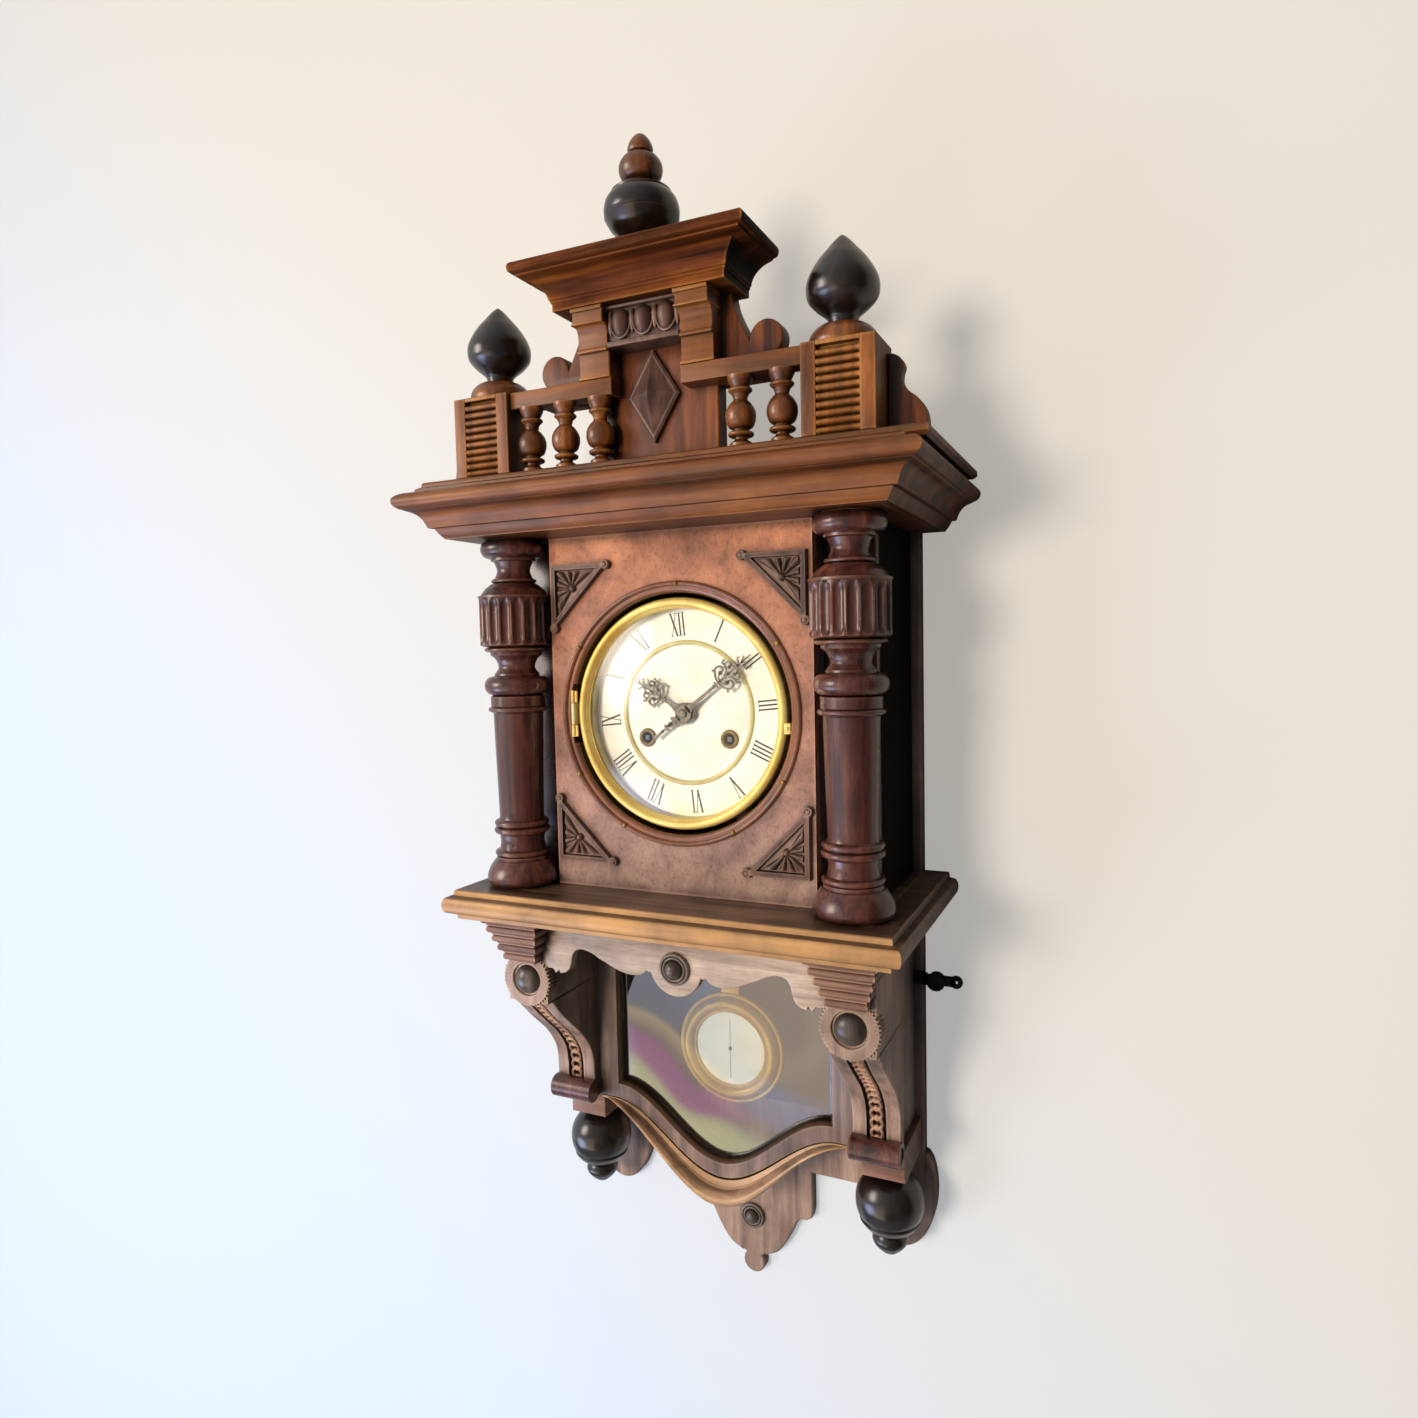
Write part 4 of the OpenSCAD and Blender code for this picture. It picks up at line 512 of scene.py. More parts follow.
# %% [markdown]
# ## Ivory, ink and glass
# The dial is ivory celluloid with browned ink. Both glasses are thin, so light goes straight
# through them: a clear sheet mixed with a mirror, by the angle of view, gives the look of real
# glass with far less noise than a solid that bends light twice.

# %% Ivory, ink and glass
def ivory_sheet():
    """Ivory celluloid, yellowed in soft patches about 20 mm across."""
    tree, shader, material = surface("aged_ivory_celluloid", "#ffffff", 0.34)
    where = put(tree, "ShaderNodeTexCoord")
    cloud = put(tree, "ShaderNodeTexNoise", {"Vector": where.outputs["Object"]}, Scale=45.0, Detail=4.0)
    tone = put(tree, "ShaderNodeValToRGB", {"Fac": cloud.outputs["Fac"]},
               ramp=[(0.3, "#f3f1ea"), (0.6, "#ffffff")])
    tree.links.new(tone.outputs["Color"], shader.inputs["Base Color"])
    return material


def clear_glass(name, tint="#fdfdfb", ior=1.5):
    """Old drawn glass: clear straight on, and a mirror at a low angle on its outer side. It casts
    almost no shadow."""
    material = bpy.data.materials.new(name)
    material.use_nodes = True
    tree = material.node_tree
    tree.nodes.clear()
    clear = put(tree, "ShaderNodeBsdfTransparent", Color=linear(tint))
    shine = put(tree, "ShaderNodeBsdfGlossy", Roughness=0.03)
    angle = put(tree, "ShaderNodeFresnel", IOR=ior)
    face = put(tree, "ShaderNodeNewGeometry")
    outer = put(tree, "ShaderNodeMath", operation="SUBTRACT", use_clamp=True)
    outer.inputs[0].default_value = 1.0
    tree.links.new(face.outputs["Backfacing"], outer.inputs[1])
    share = put(tree, "ShaderNodeMath", {0: angle.outputs[0], 1: outer.outputs[0]}, operation="MULTIPLY")
    mix = put(tree, "ShaderNodeMixShader", {0: share.outputs[0], 1: clear.outputs[0], 2: shine.outputs[0]})
    put(tree, "ShaderNodeOutputMaterial", {"Surface": mix.outputs[0]})
    return material


ivory = ivory_sheet()
ink = surface("printed_black_ink", "#3a372f", 0.5)[2]
glass = clear_glass("clear_drawn_glass")
pane_glass = clear_glass("old_window_glass", "#eef0ec", 3.0)

# %% [markdown]
# ## Case boards
# The case is a plain box behind the columns. Its sides are painted nearly black as shade, and its
# lower sides pale grey as a painted sheen. Boards could be scaled cubes, but a plate with eased
# edges catches the thin line of light that planed wood shows.

# %% Case boards
def boards():
    """The plain boards of the case: sides, returns, soffit, top board and the two lower sides."""
    # The upper sides are near-black painted shade.
    piece("case_sides_planed", both(block(SIDE_IN, SIDE_OUT, 10, 105, SHELF_TOP, SOFFIT, 0.8, "side")),
          shade_black_wood, ["case_sides"])
    piece("corner_returns_planed", both(block(97.5, SIDE_OUT, 105, 113, SHELF_TOP, SOFFIT, 0.6),
                                        block(97.5, PANEL_HALF, 113, 128, SHELF_TOP, SOFFIT, 0.6, "side")),
          stained_up, ["corner_returns"])
    soffit = [[-162, -175.2], [162, -175.2], [162, 0], [150.4, 0], [150.4, -10], [-150.4, -10], [-150.4, 0],
              [-162, 0]]
    piece("soffit_planed", [plate(soffit, SOFFIT, 141.5, "top", 0.6)], walnut_across,
          ["soffit_board"])
    piece("top_board_rounded", [block(-192, 192, 0, 176.6, CORNICE_TOP, CREST_Z, 2.4, "top")],
          walnut_across, ["top_board"])
    # The lower sides are pale grey as a painted sheen.
    piece("lower_sides_planed", both(block(SIDE_IN, SIDE_OUT, 10, SASH_FRONT, SASH_LOW, SHELF_LOW, 0.8,
                                           "side")), sheen_side_wood, ["lower_sides"])


boards()

# %% [markdown]
# ## Backboard
# One wide board closes the back and shows below the case as a drop and two ears. It was sawn
# to a drawn line, so the right half of that line is written here, and mirrored.

# %% Backboard
def ear_outline():
    """The backboard's right half from its drop up: drop, ear (half an ellipse 60 by 106), and the
    long straight edge."""
    drop = [[0.1, -502], [3.5, -501.4], [6.9, -499.2], [9.2, -496], [10, -492], [9.3, -488.2],
            [7.4, -485.2], [10.5, -483.2]]
    curve = smooth([[10.5, -484.4], [21, -479], [26.5, -473], [32, -464.5], [36.5, -455.5], [40.5, -447]],
                   4)
    shoulder = [[44, -443.6], [49, -443.2], [53.6, -440.4], [55, -434], [55, -400]]
    ear = arc(130, -391, 30, 53, 189.8, 360, 40)
    return chain(drop, curve, shoulder, ear, arc(150.4, -391, 9.6, 30, 6, 90, 10), [[150.4, CORNICE_TOP]])


piece("backboard_shaped", [plate(two_halves(ear_outline()), 0.0, 10.0, "front", 2.2, 5)], pale_up,
      ["backboard"])

# %% [markdown]
# ## Cornice
# The cornice is one moulding, mitred at two corners. A single section carried round three sides
# makes the front and both returns, and the mitres come by themselves.

# %% Cornice
def cornice_section():
    """Out from the case and up: a fascia, a small round, a deep hollow, the bold nosing, and its
    fall to the top board."""
    face = smooth([[0, 134], [2.4, 136.8], [4.5, 140.2]], 4)
    hollow = smooth([[8.3, 141.3], [9.3, 144], [11.2, 148], [14.8, 151.6], [20.4, 153.9]], 6)
    nose = smooth([[22.4, 154.6], [25.2, 156.8], [26.4, 160.0], [25.3, 163.3], [21.5, 165.9],
                   [16.0, 167.3]], 6)
    fall = [[14.2, 167.5], [14.0, 169.4], [11.0, 170.9]]
    return chain([[-5.9, CORNICE_TOP], [-5.9, SOFFIT], [0, SOFFIT]], face, [[4.8, 141.0]], hollow,
                 [[20.8, 154.4]], nose, fall)


piece("cornice_run", [surround(cornice_section(), 168, 181.2)], walnut_across,
      ["cornice_front", "cornice_sides"])

# %% [markdown]
# ## Shelf
# The shelf under the columns is built like the cornice: a moulded edge round three sides, with
# a plain slab inside it that is cut away where the pendulum hangs.

# %% Shelf
def shelf_section():
    """Out and up: two fillets, the bold round edge 12 mm high, and a small step under the top."""
    round_edge = arc(-3.2, -143.6, 3.2, 6.2, -90, 90, 14)
    return chain([[-26, SHELF_TOP], [-26, SHELF_LOW]],
                 [[-9, SHELF_LOW], [-8.4, -154.6], [-8.2, -151.6], [-7.6, -151.2]],
                 arc(-7.6, -149.8, 2.2, 1.6, -80, 60, 5), round_edge,
                 [[-4.2, -137.2], [-6.6, -136.6], [-7.0, -133.2], [-7.8, SHELF_TOP]])


def shelf():
    """The moulded edge runs round three sides; a slab with a slot for the pendulum fills the middle."""
    boards_at = ((-150.6, 150.6, 60, 165.2), (-150.6, -30, 10, 60), (30, 150.6, 10, 60), (-30, 30, 10, 30))
    slab = [block(*at, SHELF_LOW, SHELF_TOP, 0.01, "top") for at in boards_at]
    piece("shelf_moulded", [surround(shelf_section(), 176.5, 191)] + slab, sheen_shelf_wood, ["shelf"])


shelf()

# %% [markdown]
# ## Front panel
# A walnut board with a round hole for the dial. The hole could be cut with a boolean, but rays
# from the middle, each ending on the board's edge, give clean faces without creases.

# %% Front panel
def circle_to_square(radius, half_w, low, high, f0, f1, n=192):
    """A board with a round hole: each ray from the middle meets the hole at its radius and the board's
    edge where the first of its four sides is reached."""
    corners = [math.atan2(z, x) % TAU for x in (half_w, -half_w) for z in (low, high)]
    a = np.unique(np.concatenate([np.linspace(0, TAU, n, endpoint=False), corners]))
    c, s = np.cos(a), np.sin(a)
    reach = np.minimum(half_w / np.maximum(abs(c), 1e-9),
                       np.where(s > 0, high, -low) / np.maximum(abs(s), 1e-9))
    rows = [(radius, f0), (radius, f1), (reach, f1), (reach, f0)]
    grid = [np.stack([r * c, 0 * a - f, r * s], -1) for r, f in rows]
    return skin(np.stack(grid, 0), True, True)


def front_panel():
    """The panel, and the round-headed brass tacks that hold the ring to it."""
    head = chain([[1.9, 138.0]], arc(0, 138.0, 1.9, 1.1, 20, 90, 5))
    tacks = []
    for a in np.radians((2, 58, 119, 152, 208, 241, 302)):
        tacks.append(turned(head, (94.6 * math.sin(a), 0, 94.6 * math.cos(a)), "y", 20))
    piece("front_panel_holed", [circle_to_square(90.5, PANEL_HALF, SHELF_TOP, SOFFIT, 128, PANEL_FRONT)],
          panel_wood, ["front_panel"])
    piece("ring_tacks", tacks, brass_dull)


front_panel()

# %% [markdown]
# ## Ring round the dial
# A turned ring covers the edge of the hole. On a lathe it is one section turned about a centre,
# and so it is here; the inner slope stops where the hinge needs room.

# %% Ring round the dial
def dial_surround():
    """A turned ring: a flat outer band, a bead, and a dished inner slope. Its inner part is cut
    away beside the hinge."""
    outer = chain([[91.0, 134.2], [90.6, 134.2], [90.6, 136.1], [96.7, 136.1]],
                  arc(94.8, 136.1, 1.9, 2.2, 0, 180, 10), [[92.2, 135.6]])
    inner = chain([[91.2, 128], [91.2, 134.6]], arc(92.7, 132.8, -4.7, 3.8, 66, 8, 7),
                  [[88, 132.4], [88, 128]])
    edge = 180 - math.degrees(math.asin(23 / 90))
    piece("dial_ring_turned", [ring(outer, segs=160), ring(inner, start=-edge, stop=edge, segs=150)],
          ring_wood, ["dial_surround"])


dial_surround()

# %% [markdown]
# ## Columns
# Each column is turned from one length of walnut, and its vase is fluted afterwards. The script
# keeps that order: the profile is carried round, then the flutes lower its radius.

# %% Columns
COLUMN = chain(smooth([[24.6, 0], [27.4, 3], [27.6, 8], [25.4, 14], [21.6, 19.4]], 5),
               [[20.2, 19.9], [20.2, 22.4]], bead(22.8, 27.2, 18.8, 21.2, 8),
               [[17.6, 27.8]], smooth([[17.4, 29], [16.8, 34], [17.4, 39.2]], 4),
               bead(40, 45.2, 18.6, 21.4, 8), bead(45.6, 50.6, 18.4, 21.0, 8),
               [[17.4, 51.4]], smooth([[17.0, 53], [17.6, 80], [18.4, 110], [18.9, 133.6]], 6),
               bead(134.6, 138.6, 20.2, 22.7, 8),
               [[20.6, 139.2], [20.6, 146.6]], bead(147.6, 162, 18.4, 25.0, 14),
               [[17.2, 162.6], [17.0, 164]],
               smooth([[16.0, 165], [13.8, 169], [15.6, 174.4], [18.6, 177.6]], 5),
               [[19.6, 178.2], [19.8, 180.4]], bead(180.6, 184.4, 20.6, 24.2, 7),
               [[24.6, 184.8]], np.stack([np.full(19, 26.9), np.linspace(186, 221.4, 19)], 1),
               [[27.6, 221.8], [27.6, 223.4], [25.4, 224]],
               smooth([[25.2, 224.4], [22.4, 228.6], [17.6, 232.6]], 5), bead(233.2, 236.6, 14.8, 17.2, 6),
               smooth([[14.2, 237.4], [12.4, 243], [14.6, 249.4]], 5),
               [[17.0, 250.2], [17.0, 252]], bead(252.4, 265.6, 18.8, 24.6, 12), [[19.2, 266]])


def flute(r, t, h):
    """Eighteen flutes in the vase: r - 2.7 sqrt(1 - (u/0.42)^2), where u is the place across one flute,
    narrowed to nothing over the last 5 mm at the top and bottom."""
    u = (t * 18 / TAU) % 1 - 0.5
    ends = np.clip(np.minimum(h - 185.8, 221.0 - h) / 5.0, 0, 1) ** 0.5
    groove = np.sqrt(np.clip(1 - (u / (0.42 * np.maximum(ends, 0.02))) ** 2, 0, 1)) * ends
    return r - np.where((h > 185.9) & (h < 221.5), 2.7 * groove, 0)


column = turned(COLUMN + [0, SHELF_TOP], segs=216, carve=lambda r, t, h: flute(r, t, h - SHELF_TOP))
piece("columns_fluted", both(moved(column, COLUMN_X, -143.6)), stained_up, ["columns"])

# %% [markdown]
# ## Finials and drops
# Onions, spire and drops are lathe work in black-stained wood; the feet and the tip stay brown.
# Each is a profile of radius and height, with its swells drawn as curves.

# %% Finials and drops
ONION = chain([[0.0, 249.0], [9.4, 249.0], [9.4, 251.0]],
              smooth([[9.6, 251.6], [10.2, 253.8], [12.4, 256.2], [17.4, 260.2], [22.2, 265.8],
                      [23.4, 271.5], [22.8, 276.6], [20.4, 282.2], [15.6, 289.6],
                      [10.4, 295.6], [5.4, 301.2], [1.6, 304.6], [0.0, 305.4]], 6))
SPIRE = chain([[9.2, CAP_TOP], [9.2, 314.6], [7.6, 316.2]],
              smooth([[8.4, 318.6], [13.6, 322.6], [20.4, 328.0], [24.4, 334.0]], 5),
              [[25.3, 335.8], [24.7, 336.8]],
              smooth([[25.4, 338.0], [25.5, 341.6], [24.3, 346.4], [21.6, 350.6]], 5),
              [[20.2, 351.4], [20.4, 352.6]],
              smooth([[18.8, 354.0], [14.0, 356.4], [9.0, 357.6]], 5), [[7.2, 357.9], [0.0, 357.9]])
TIP = chain([[0.0, 357.9], [7.2, 358.0]],
            smooth([[8.6, 358.6], [12.6, 361.2], [14.6, 365.6], [14.5, 370.2], [12.0, 374.6],
                    [8.2, 377.4]], 5), [[6.6, 378.0]],
            smooth([[8.3, 378.8], [8.6, 381.4], [7.0, 385.6], [4.2, 389.2], [1.8, 390.8], [0.0, 391.1]], 5))
DROP = chain([[12.0, -357.5], [12.0, -359.0], [10.4, -360.2], [11.8, -361.2]],
             smooth([[13.6, -361.8], [20.6, -367.0], [25.4, -375.4], [26.6, -384.0], [25.6, -391.0],
                     [24.0, -395.2]], 5),
             [[22.6, -396.2], [22.4, -397.2], [23.4, -398.2]],
             smooth([[22.6, -399.6], [19.6, -403.4], [15.4, -406.0], [11.4, -407.2]], 5), [[10.8, -408.4]],
             smooth([[12.6, -410.2], [13.8, -413.8], [13.2, -417.2], [10.8, -420.6]], 5),
             [[9.6, -421.0], [9.4, -422.0]],
             smooth([[7.8, -423.4], [4.2, -426.2], [0.0, -427.4]], 5))
FOOT = chain([[22.0, RAIL_TOP], [22.4, 237.4]],
             smooth([[22.2, 239.4], [20.6, 243.6], [16.8, 247.4], [11.6, 249.6]], 5),
             [[9.6, 250.4], [0.0, 250.4]])
piece("side_finials_turned", both(moved(turned(ONION), COLUMN_X, -151.7)), ebonised,
      ["side_finials"])
piece("finial_feet_turned", both(moved(turned(FOOT), COLUMN_X, -151.7)), turned_wood)
piece("centre_finial_turned", [moved(turned(SPIRE), 0, -168.4)], ebonised,
      ["centre_finial"])
piece("centre_tip_turned", [moved(turned(TIP), 0, -168.4)], turned_wood)
piece("drops_turned", both(moved(turned(DROP[::-1]), CONSOLE_X, -46)), ebonised,
      ["ball_drops"])

# %% [markdown]
# ## Crest posts and spindles
# The gallery over the cornice has reeded posts, a rail and small spindles. The reeds are equal
# half-rounds, made by a loop, and the spindles are one turning set out five times.

# %% Crest posts, rails and spindles
SPINDLE = chain([[7.6, CREST_Z], [7.6, 180.4]], smooth([[6.8, 181.2], [4.6, 182.6], [4.4, 184.2]], 3),
                bead(184.6, 188.2, 6.0, 8.6, 8), [[5.2, 188.8]],
                smooth([[5.4, 189.4], [8.4, 191.6], [10.0, 196.4], [9.6, 201.6], [7.2, 205.8],
                        [5.2, 207.8]], 5), [[4.6, 208.6]],
                smooth([[4.8, 210], [5.6, 212], [6.8, 213.2]], 3), bead(213.4, 216.2, 6.4, 8.0, 6),
                [[6.0, 216.8]], smooth([[6.4, 217.6], [7.8, 220.2], [8.4, 221.6]], 3),
                [[8.4, 224.0]])


def crest_post():
    """Two flat stiles with ten half-round reeds between them, and the block behind."""
    stiles = [block(x, x + 10, 134, 174.2, CREST_Z, RAIL_TOP, 0.7) for x in (112, 150)]
    core = block(122, 150, 130.2, 168.4, CREST_Z, RAIL_TOP, 0.01)
    top_rail = block(122, 150, 166, 174.2, 233.2, RAIL_TOP, 0.5)
    reeds = []
    for i in range(10):
        z = 181 + 5.3 * i
        half_round = chain(arc(-170.0, z, 3.9, 2.35, 90, 270, 8)[::-1], [[-168, z - 2.3]],
                           [[-168, z + 2.3]])
        reeds.append(plate(half_round, 122, 150, "side", 0.01, 1))
    return stiles + [core, top_rail] + reeds


piece("crest_posts_reeded", both(*crest_post()), post_wood, ["crest_posts"])
spindle = turned(SPINDLE, segs=48)
piece("spindles_turned", [moved(spindle, x, -165.3) for x in (-96.7, -67.8, -38.9, 67.8, 96.7)],
      turned_wood, ["spindles"])

# %% [markdown]
# ## Crest board, rails and egg strip
# The middle of the crest stacks sawn, moulded and carved work, and each is made as its maker
# would: sawn outlines are plates, mouldings are carried sections, and the eggs are turnings sunk
# half into their strip.

# %% Crest board, rails and egg strip
def pilaster_side():
    """The side outline (y, z) of a pilaster: straight, a small bead, straight again, and a hollow
    that swells out to the cap."""
    return chain([[-155, RAIL_TOP], [-170, RAIL_TOP], [-170, 253.4], [-172.8, 253.6], [-173.2, 255.0],
                  [-172.4, 256.2], [-171.4, 256.6], [-171.4, 265.2]],
                 arc(-178, 265.2, 6.6, 6.2, 0, 88, 8), [[-178.4, 271.8], [-178.4, CAP_Z], [-155, CAP_Z]])


def crest():
    """The board with its lobes, the rails with their stepped pilasters, and the strip of eggs."""
    curve = smooth([[69.6, 252.6], [66.6, 258.4], [62.8, 266], [59.6, 274], [58, CAP_Z]], 5)
    lobe = arc(82.2, 249.6, 11.8, 12.2, -58, 178, 22)
    right = chain([[47.5, CREST_Z], [47.5, RAIL_Z], [92, 224.4]], lobe, curve)
    piece("crest_board_shaped", [plate(two_halves(right), 141, 155, "front", 1.6, 4, 0.8)], walnut_up,
          ["crest_board"])
    rails = both(block(26.5, 112, 155, 170, RAIL_Z, RAIL_TOP, 0.9),
                 plate(pilaster_side(), 27.5, 51.5, "side", 0.7, 3, 0.7))
    fillets = ((171.0, RAIL_TOP, 1.8), (179.6, 270.8, 1.4), (180.4, 279.4, 2.6))
    bands = both(*[block(27.1, 51.9, 160, f, z, z + t, 0.5) for f, z, t in fillets])
    piece("crest_rails_moulded", rails + bands, walnut_across, ["crest_rails"])
    egg = smooth([[0.0, -10], [3.4, -8.6], [5.6, -4.6], [6.4, 0.6], [5.8, 5.4], [3.6, 8.6], [0.0, 9.8]], 5)
    dart = smooth([[0.0, -8], [1.6, -3], [2.0, 4], [1.2, 8.4], [0.0, 9]], 3)
    middles = (-17.4, 0, 17.4)
    eggs = [moved(turned(egg, segs=32), x, -169.6, 270.2) for x in middles]
    eggs += [moved(turned(dart, segs=12), x, -170.2, 270) for x in (-25.6, -8.7, 8.7, 25.6)]
    for x in middles:
        hoop = ring(np.array([[6.9, 168.6], [8.0, 168.6], [8.0, 171.4], [7.4, 172.0], [6.9, 171.4]]),
                    (0, 0, 0), "y", 165, 375, 40)
        eggs.append(moved((hoop[0] * [1, 1, 1.35], hoop[1]), x, 0, 270.4))
    strip = [block(-27.5, 27.5, 155, 169, 258, CAP_Z, 0.3), block(-27.5, 27.5, 155, 173, 254.6, 258.2, 0.8),
             block(-27.5, 27.5, 155, 173.4, 280, CAP_Z, 0.6)]
    piece("egg_strip_carved", strip + eggs, carved_wood, ["egg_strip"])


crest()

# %% [markdown]
# ## Diamond boss
# A four-sided boss is glued to the middle of the crest board. A cube could be squeezed into its
# shape, but five rows of four points give the stepped edge and the sharp tip directly.

# %% Diamond boss
def diamond():
    """A four-sided point: two nested rhombs, then one edge step, then a sharp tip."""
    rows = [(20, 31.6, 155), (20, 31.6, 158.4), (18.4, 29.2, 159.6), (16.6, 26.4, 159.8), (0.3, 0.5, 168.6)]
    grid = np.array([[[-w, -f, 222], [0, -f, 222 - h], [w, -f, 222], [0, -f, 222 + h]] for w, h, f in rows],
                    float)
    return tube(grid)


piece("diamond_boss", [diamond()], carved_wood, ["lozenge"], angle=12)

# %% [markdown]
# ## Pediment cap
# The cap is a short moulding over the middle, mitred at both ends. It could be three lengths cut
# at an angle, but it is carried round like the cornice, so that the mitres close by themselves.

# %% Pediment cap
CAP = chain([[-40, CAP_TOP], [-40, CAP_Z], [-0.6, CAP_Z], [-0.6, 286.8], [0.4, 287.6], [0.4, 289.0]],
            smooth([[1.2, 289.4], [2.0, 292.6], [4.8, 297.0], [9.8, 300.8], [16.8, 303.4]], 6),
            [[17.4, 304.4], [19.4, 304.8]],
            smooth([[20.6, 305.8], [21.2, 308.2], [20.8, 310.6], [19.9, CAP_TOP]], 4))


def pediment_cap():
    """The cap's moulding runs round front and ends and stops at its flat back."""
    part = surround(CAP, 65.6, 182.4, 140.1)
    fill = block(-30, 30, 140.1, 150, CAP_Z, CAP_TOP, 0.01)
    return [part, fill]


piece("pediment_cap_moulded", pediment_cap(), cap_wood, ["pediment_cap"])

# %% [markdown]
# ## Side scrolls
# A small scroll stands behind each post, sawn from thin board. A curve object with thickness
# could do, but a plate from a smoothed outline has its eased edges at once.

# %% Side scrolls
SCROLL = chain([[160, CREST_Z], [184.6, CREST_Z]],
               smooth([[185.4, 182], [184.6, 190.5], [182.2, 196.4], [178.2, 201.6], [172.6, 206.4],
                       [168.9, 212], [169.0, 217.6], [170.2, 222], [168.0, 226.8], [163.6, 229.8],
                       [160, 230.2]], 4))
piece("side_scrolls_sawn", both(plate(SCROLL, 135, 145, "front", 1.2, 4, 0.8)), walnut_up,
      ["side_scrolls"])

# %% [markdown]
# ## Carved corner ornaments
# Each corner of the panel carries a small triangular carving: a raised border with a round
# bead in each sharp end, and a fan of petals that spreads from a boss towards the square
# corner. The surface is a height over the triangle. Rows of the grid are the triangle's own
# outline drawn in step by step towards its middle, so that the border's edges stay crisp.

# %% Carved corner ornaments
LEG = 50.0


def fan_height(u, v):
    """Height at u along the top and v down the side, both from the square corner. The border stands
    4 mm high within 4.4 mm of the edge. Seven petals stand 3.1 sqrt(sin(pi q)) high, q being the place
    across one petal."""
    edge = np.minimum(np.minimum(u, v), (LEG - u - v) / math.sqrt(2))
    border = 4.0 * np.clip(edge / 0.5, 0.0, 1) * np.clip((4.4 - edge) / 0.4, 0, 1)
    du, dv = 0.36 * LEG - u, 0.36 * LEG - v
    far, turn = np.hypot(du, dv), np.degrees(np.arctan2(dv, du))
    q = np.clip((turn - 45 + 104) / 208, 0, 0.9999) * 7 % 1
    petal = 3.1 * np.sqrt(np.clip(np.sin(math.pi * np.clip((q - 0.09) / 0.82, 0, 1)), 0, 1))
    petal *= np.clip((edge - 4.9) / 0.7, 0, 1) * np.clip(far / 4, 0, 1) * (abs(turn - 45) < 104)
    boss = 3.9 * np.sqrt(np.clip(1 - (far / 2.9) ** 2, 0, 1))
    knob = 4.3 * np.sqrt(np.clip(1 - (np.hypot(u - 0.47 * LEG, v - 0.47 * LEG) / 2.4) ** 2, 0, 1))
    return 0.5 + np.maximum.reduce([border, petal, boss, knob])


def ornament(n=66, m=216):
    """Rows are the triangle shrunk towards its middle: p = middle + (1 - s) (outline - middle)."""
    corners = np.array([[0, 0], [LEG, 0], [0, LEG]])
    t = np.arange(m) / m * 3
    k = t.astype(int)
    outline = corners[k] + (t - k)[:, None] * (corners[(k + 1) % 3] - corners[k])
    middle = np.full(2, LEG * (1 - 1 / math.sqrt(2)))
    s = np.concatenate([[0], np.linspace(0, 0.32, n // 2), np.linspace(0.33, 0.995, n // 2)])
    uv = middle + (1 - s)[:, None, None] * (outline - middle)
    high = fan_height(uv[..., 0], uv[..., 1])
    high[0] = 0
    body = tube(np.stack([uv[..., 0], -136 - high, -uv[..., 1]], -1))
    ends = [turned(chain([[3.5, 136]], [[3.5, 139.4]], arc(2.9, 139.4, 0.6, 1.1, 0, 90, 4),
                         [[2.3, 140.4], [2.3, 140.0]], arc(0, 139.8, 2.1, 1.5, 5, 90, 6)),
                   (u, 0, -v), "y", 28) for u, v in ((LEG - 2.2, 1.6), (1.6, LEG - 2.2))]
    return [body] + ends


corner = [moved(p, -102.3, 0, 113) for p in ornament()]
upper = both(*corner)
piece("corner_carvings", upper + [(p * [1, 1, -1], [f[::-1] for f in faces]) for p, faces in upper],
      carved_wood, ["corner_ornaments"], angle=28)

# %% [markdown]
# ## Bezel and glass
# The bezel is spun brass: a deep rim, a rolled front edge and a thin inner lip that holds the
# domed glass. It swings on two knuckles at the left, so everything here rides on the door body.
# A cylinder could be the start of both, but a drawn section, turned, has the rolled edge at once.

# %% Bezel and glass
def bezel():
    """A section of (radius, distance from the wall) carried round the axis. The knuckles are short
    turned rods."""
    rim = chain([[83.8, 124.0], [85, 124.0], [85, 130.6]], arc(81.5, 131.2, 3.5, 3.8, 0, 172, 16),
                [[77.6, 131.2], [77.0, 130.6], [77.0, 129.4], [83.8, 129.4]])
    parts = [ring(rim, segs=192)]
    for z in (-13, 13):
        parts += [moved(turned(np.array([[1.7, z - 4.6], [1.7, z + 4.6]]), segs=24), HINGE_X, HINGE_Y),
                  block(-88.4, -84.4, 134.6, 136.4, z - 4.4, z + 4.4, 0.3)]
    parts += [block(82.6, 87.6, 129.4, 134.6, -13, -5, 0.9),
              turned(chain([[1.7, 134.4]], arc(0, 134.6, 1.6, 0.9, 10, 90, 4)), (85.0, 0, -9), "y", 18)]
    piece("bezel_spun", parts, bezel_brass, ["bezel"], "glazed_door")


bezel()


def dome(radius, rise, edge_f, n=28):
    """A cap of a ball: depth = edge + rise - R (1 - cos a), with R = (r^2 + rise^2) / (2 rise)."""
    ball = (radius ** 2 + rise ** 2) / (2 * rise)
    a = np.linspace(math.asin(radius / ball), 0, n)
    return np.stack([ball * np.sin(a), edge_f + rise - ball * (1 - np.cos(a))], 1)


outer, inner = dome(76.9, 10.2, 131.0), dome(76.0, 9.0, 130.2)
piece("glass_dome", [turned(np.vstack([outer, inner[::-1]]), (0, 0, 0), "y", 128)], glass,
      ["bezel_glass"], "glazed_door", angle=50)

# %% [markdown]
# ## Dial
# The chapter ring and the sunk centre are ivory sheet, with a bright ring between them. The
# numerals are printed in dark ink: each stroke is a thin plate a tenth of a millimetre proud.

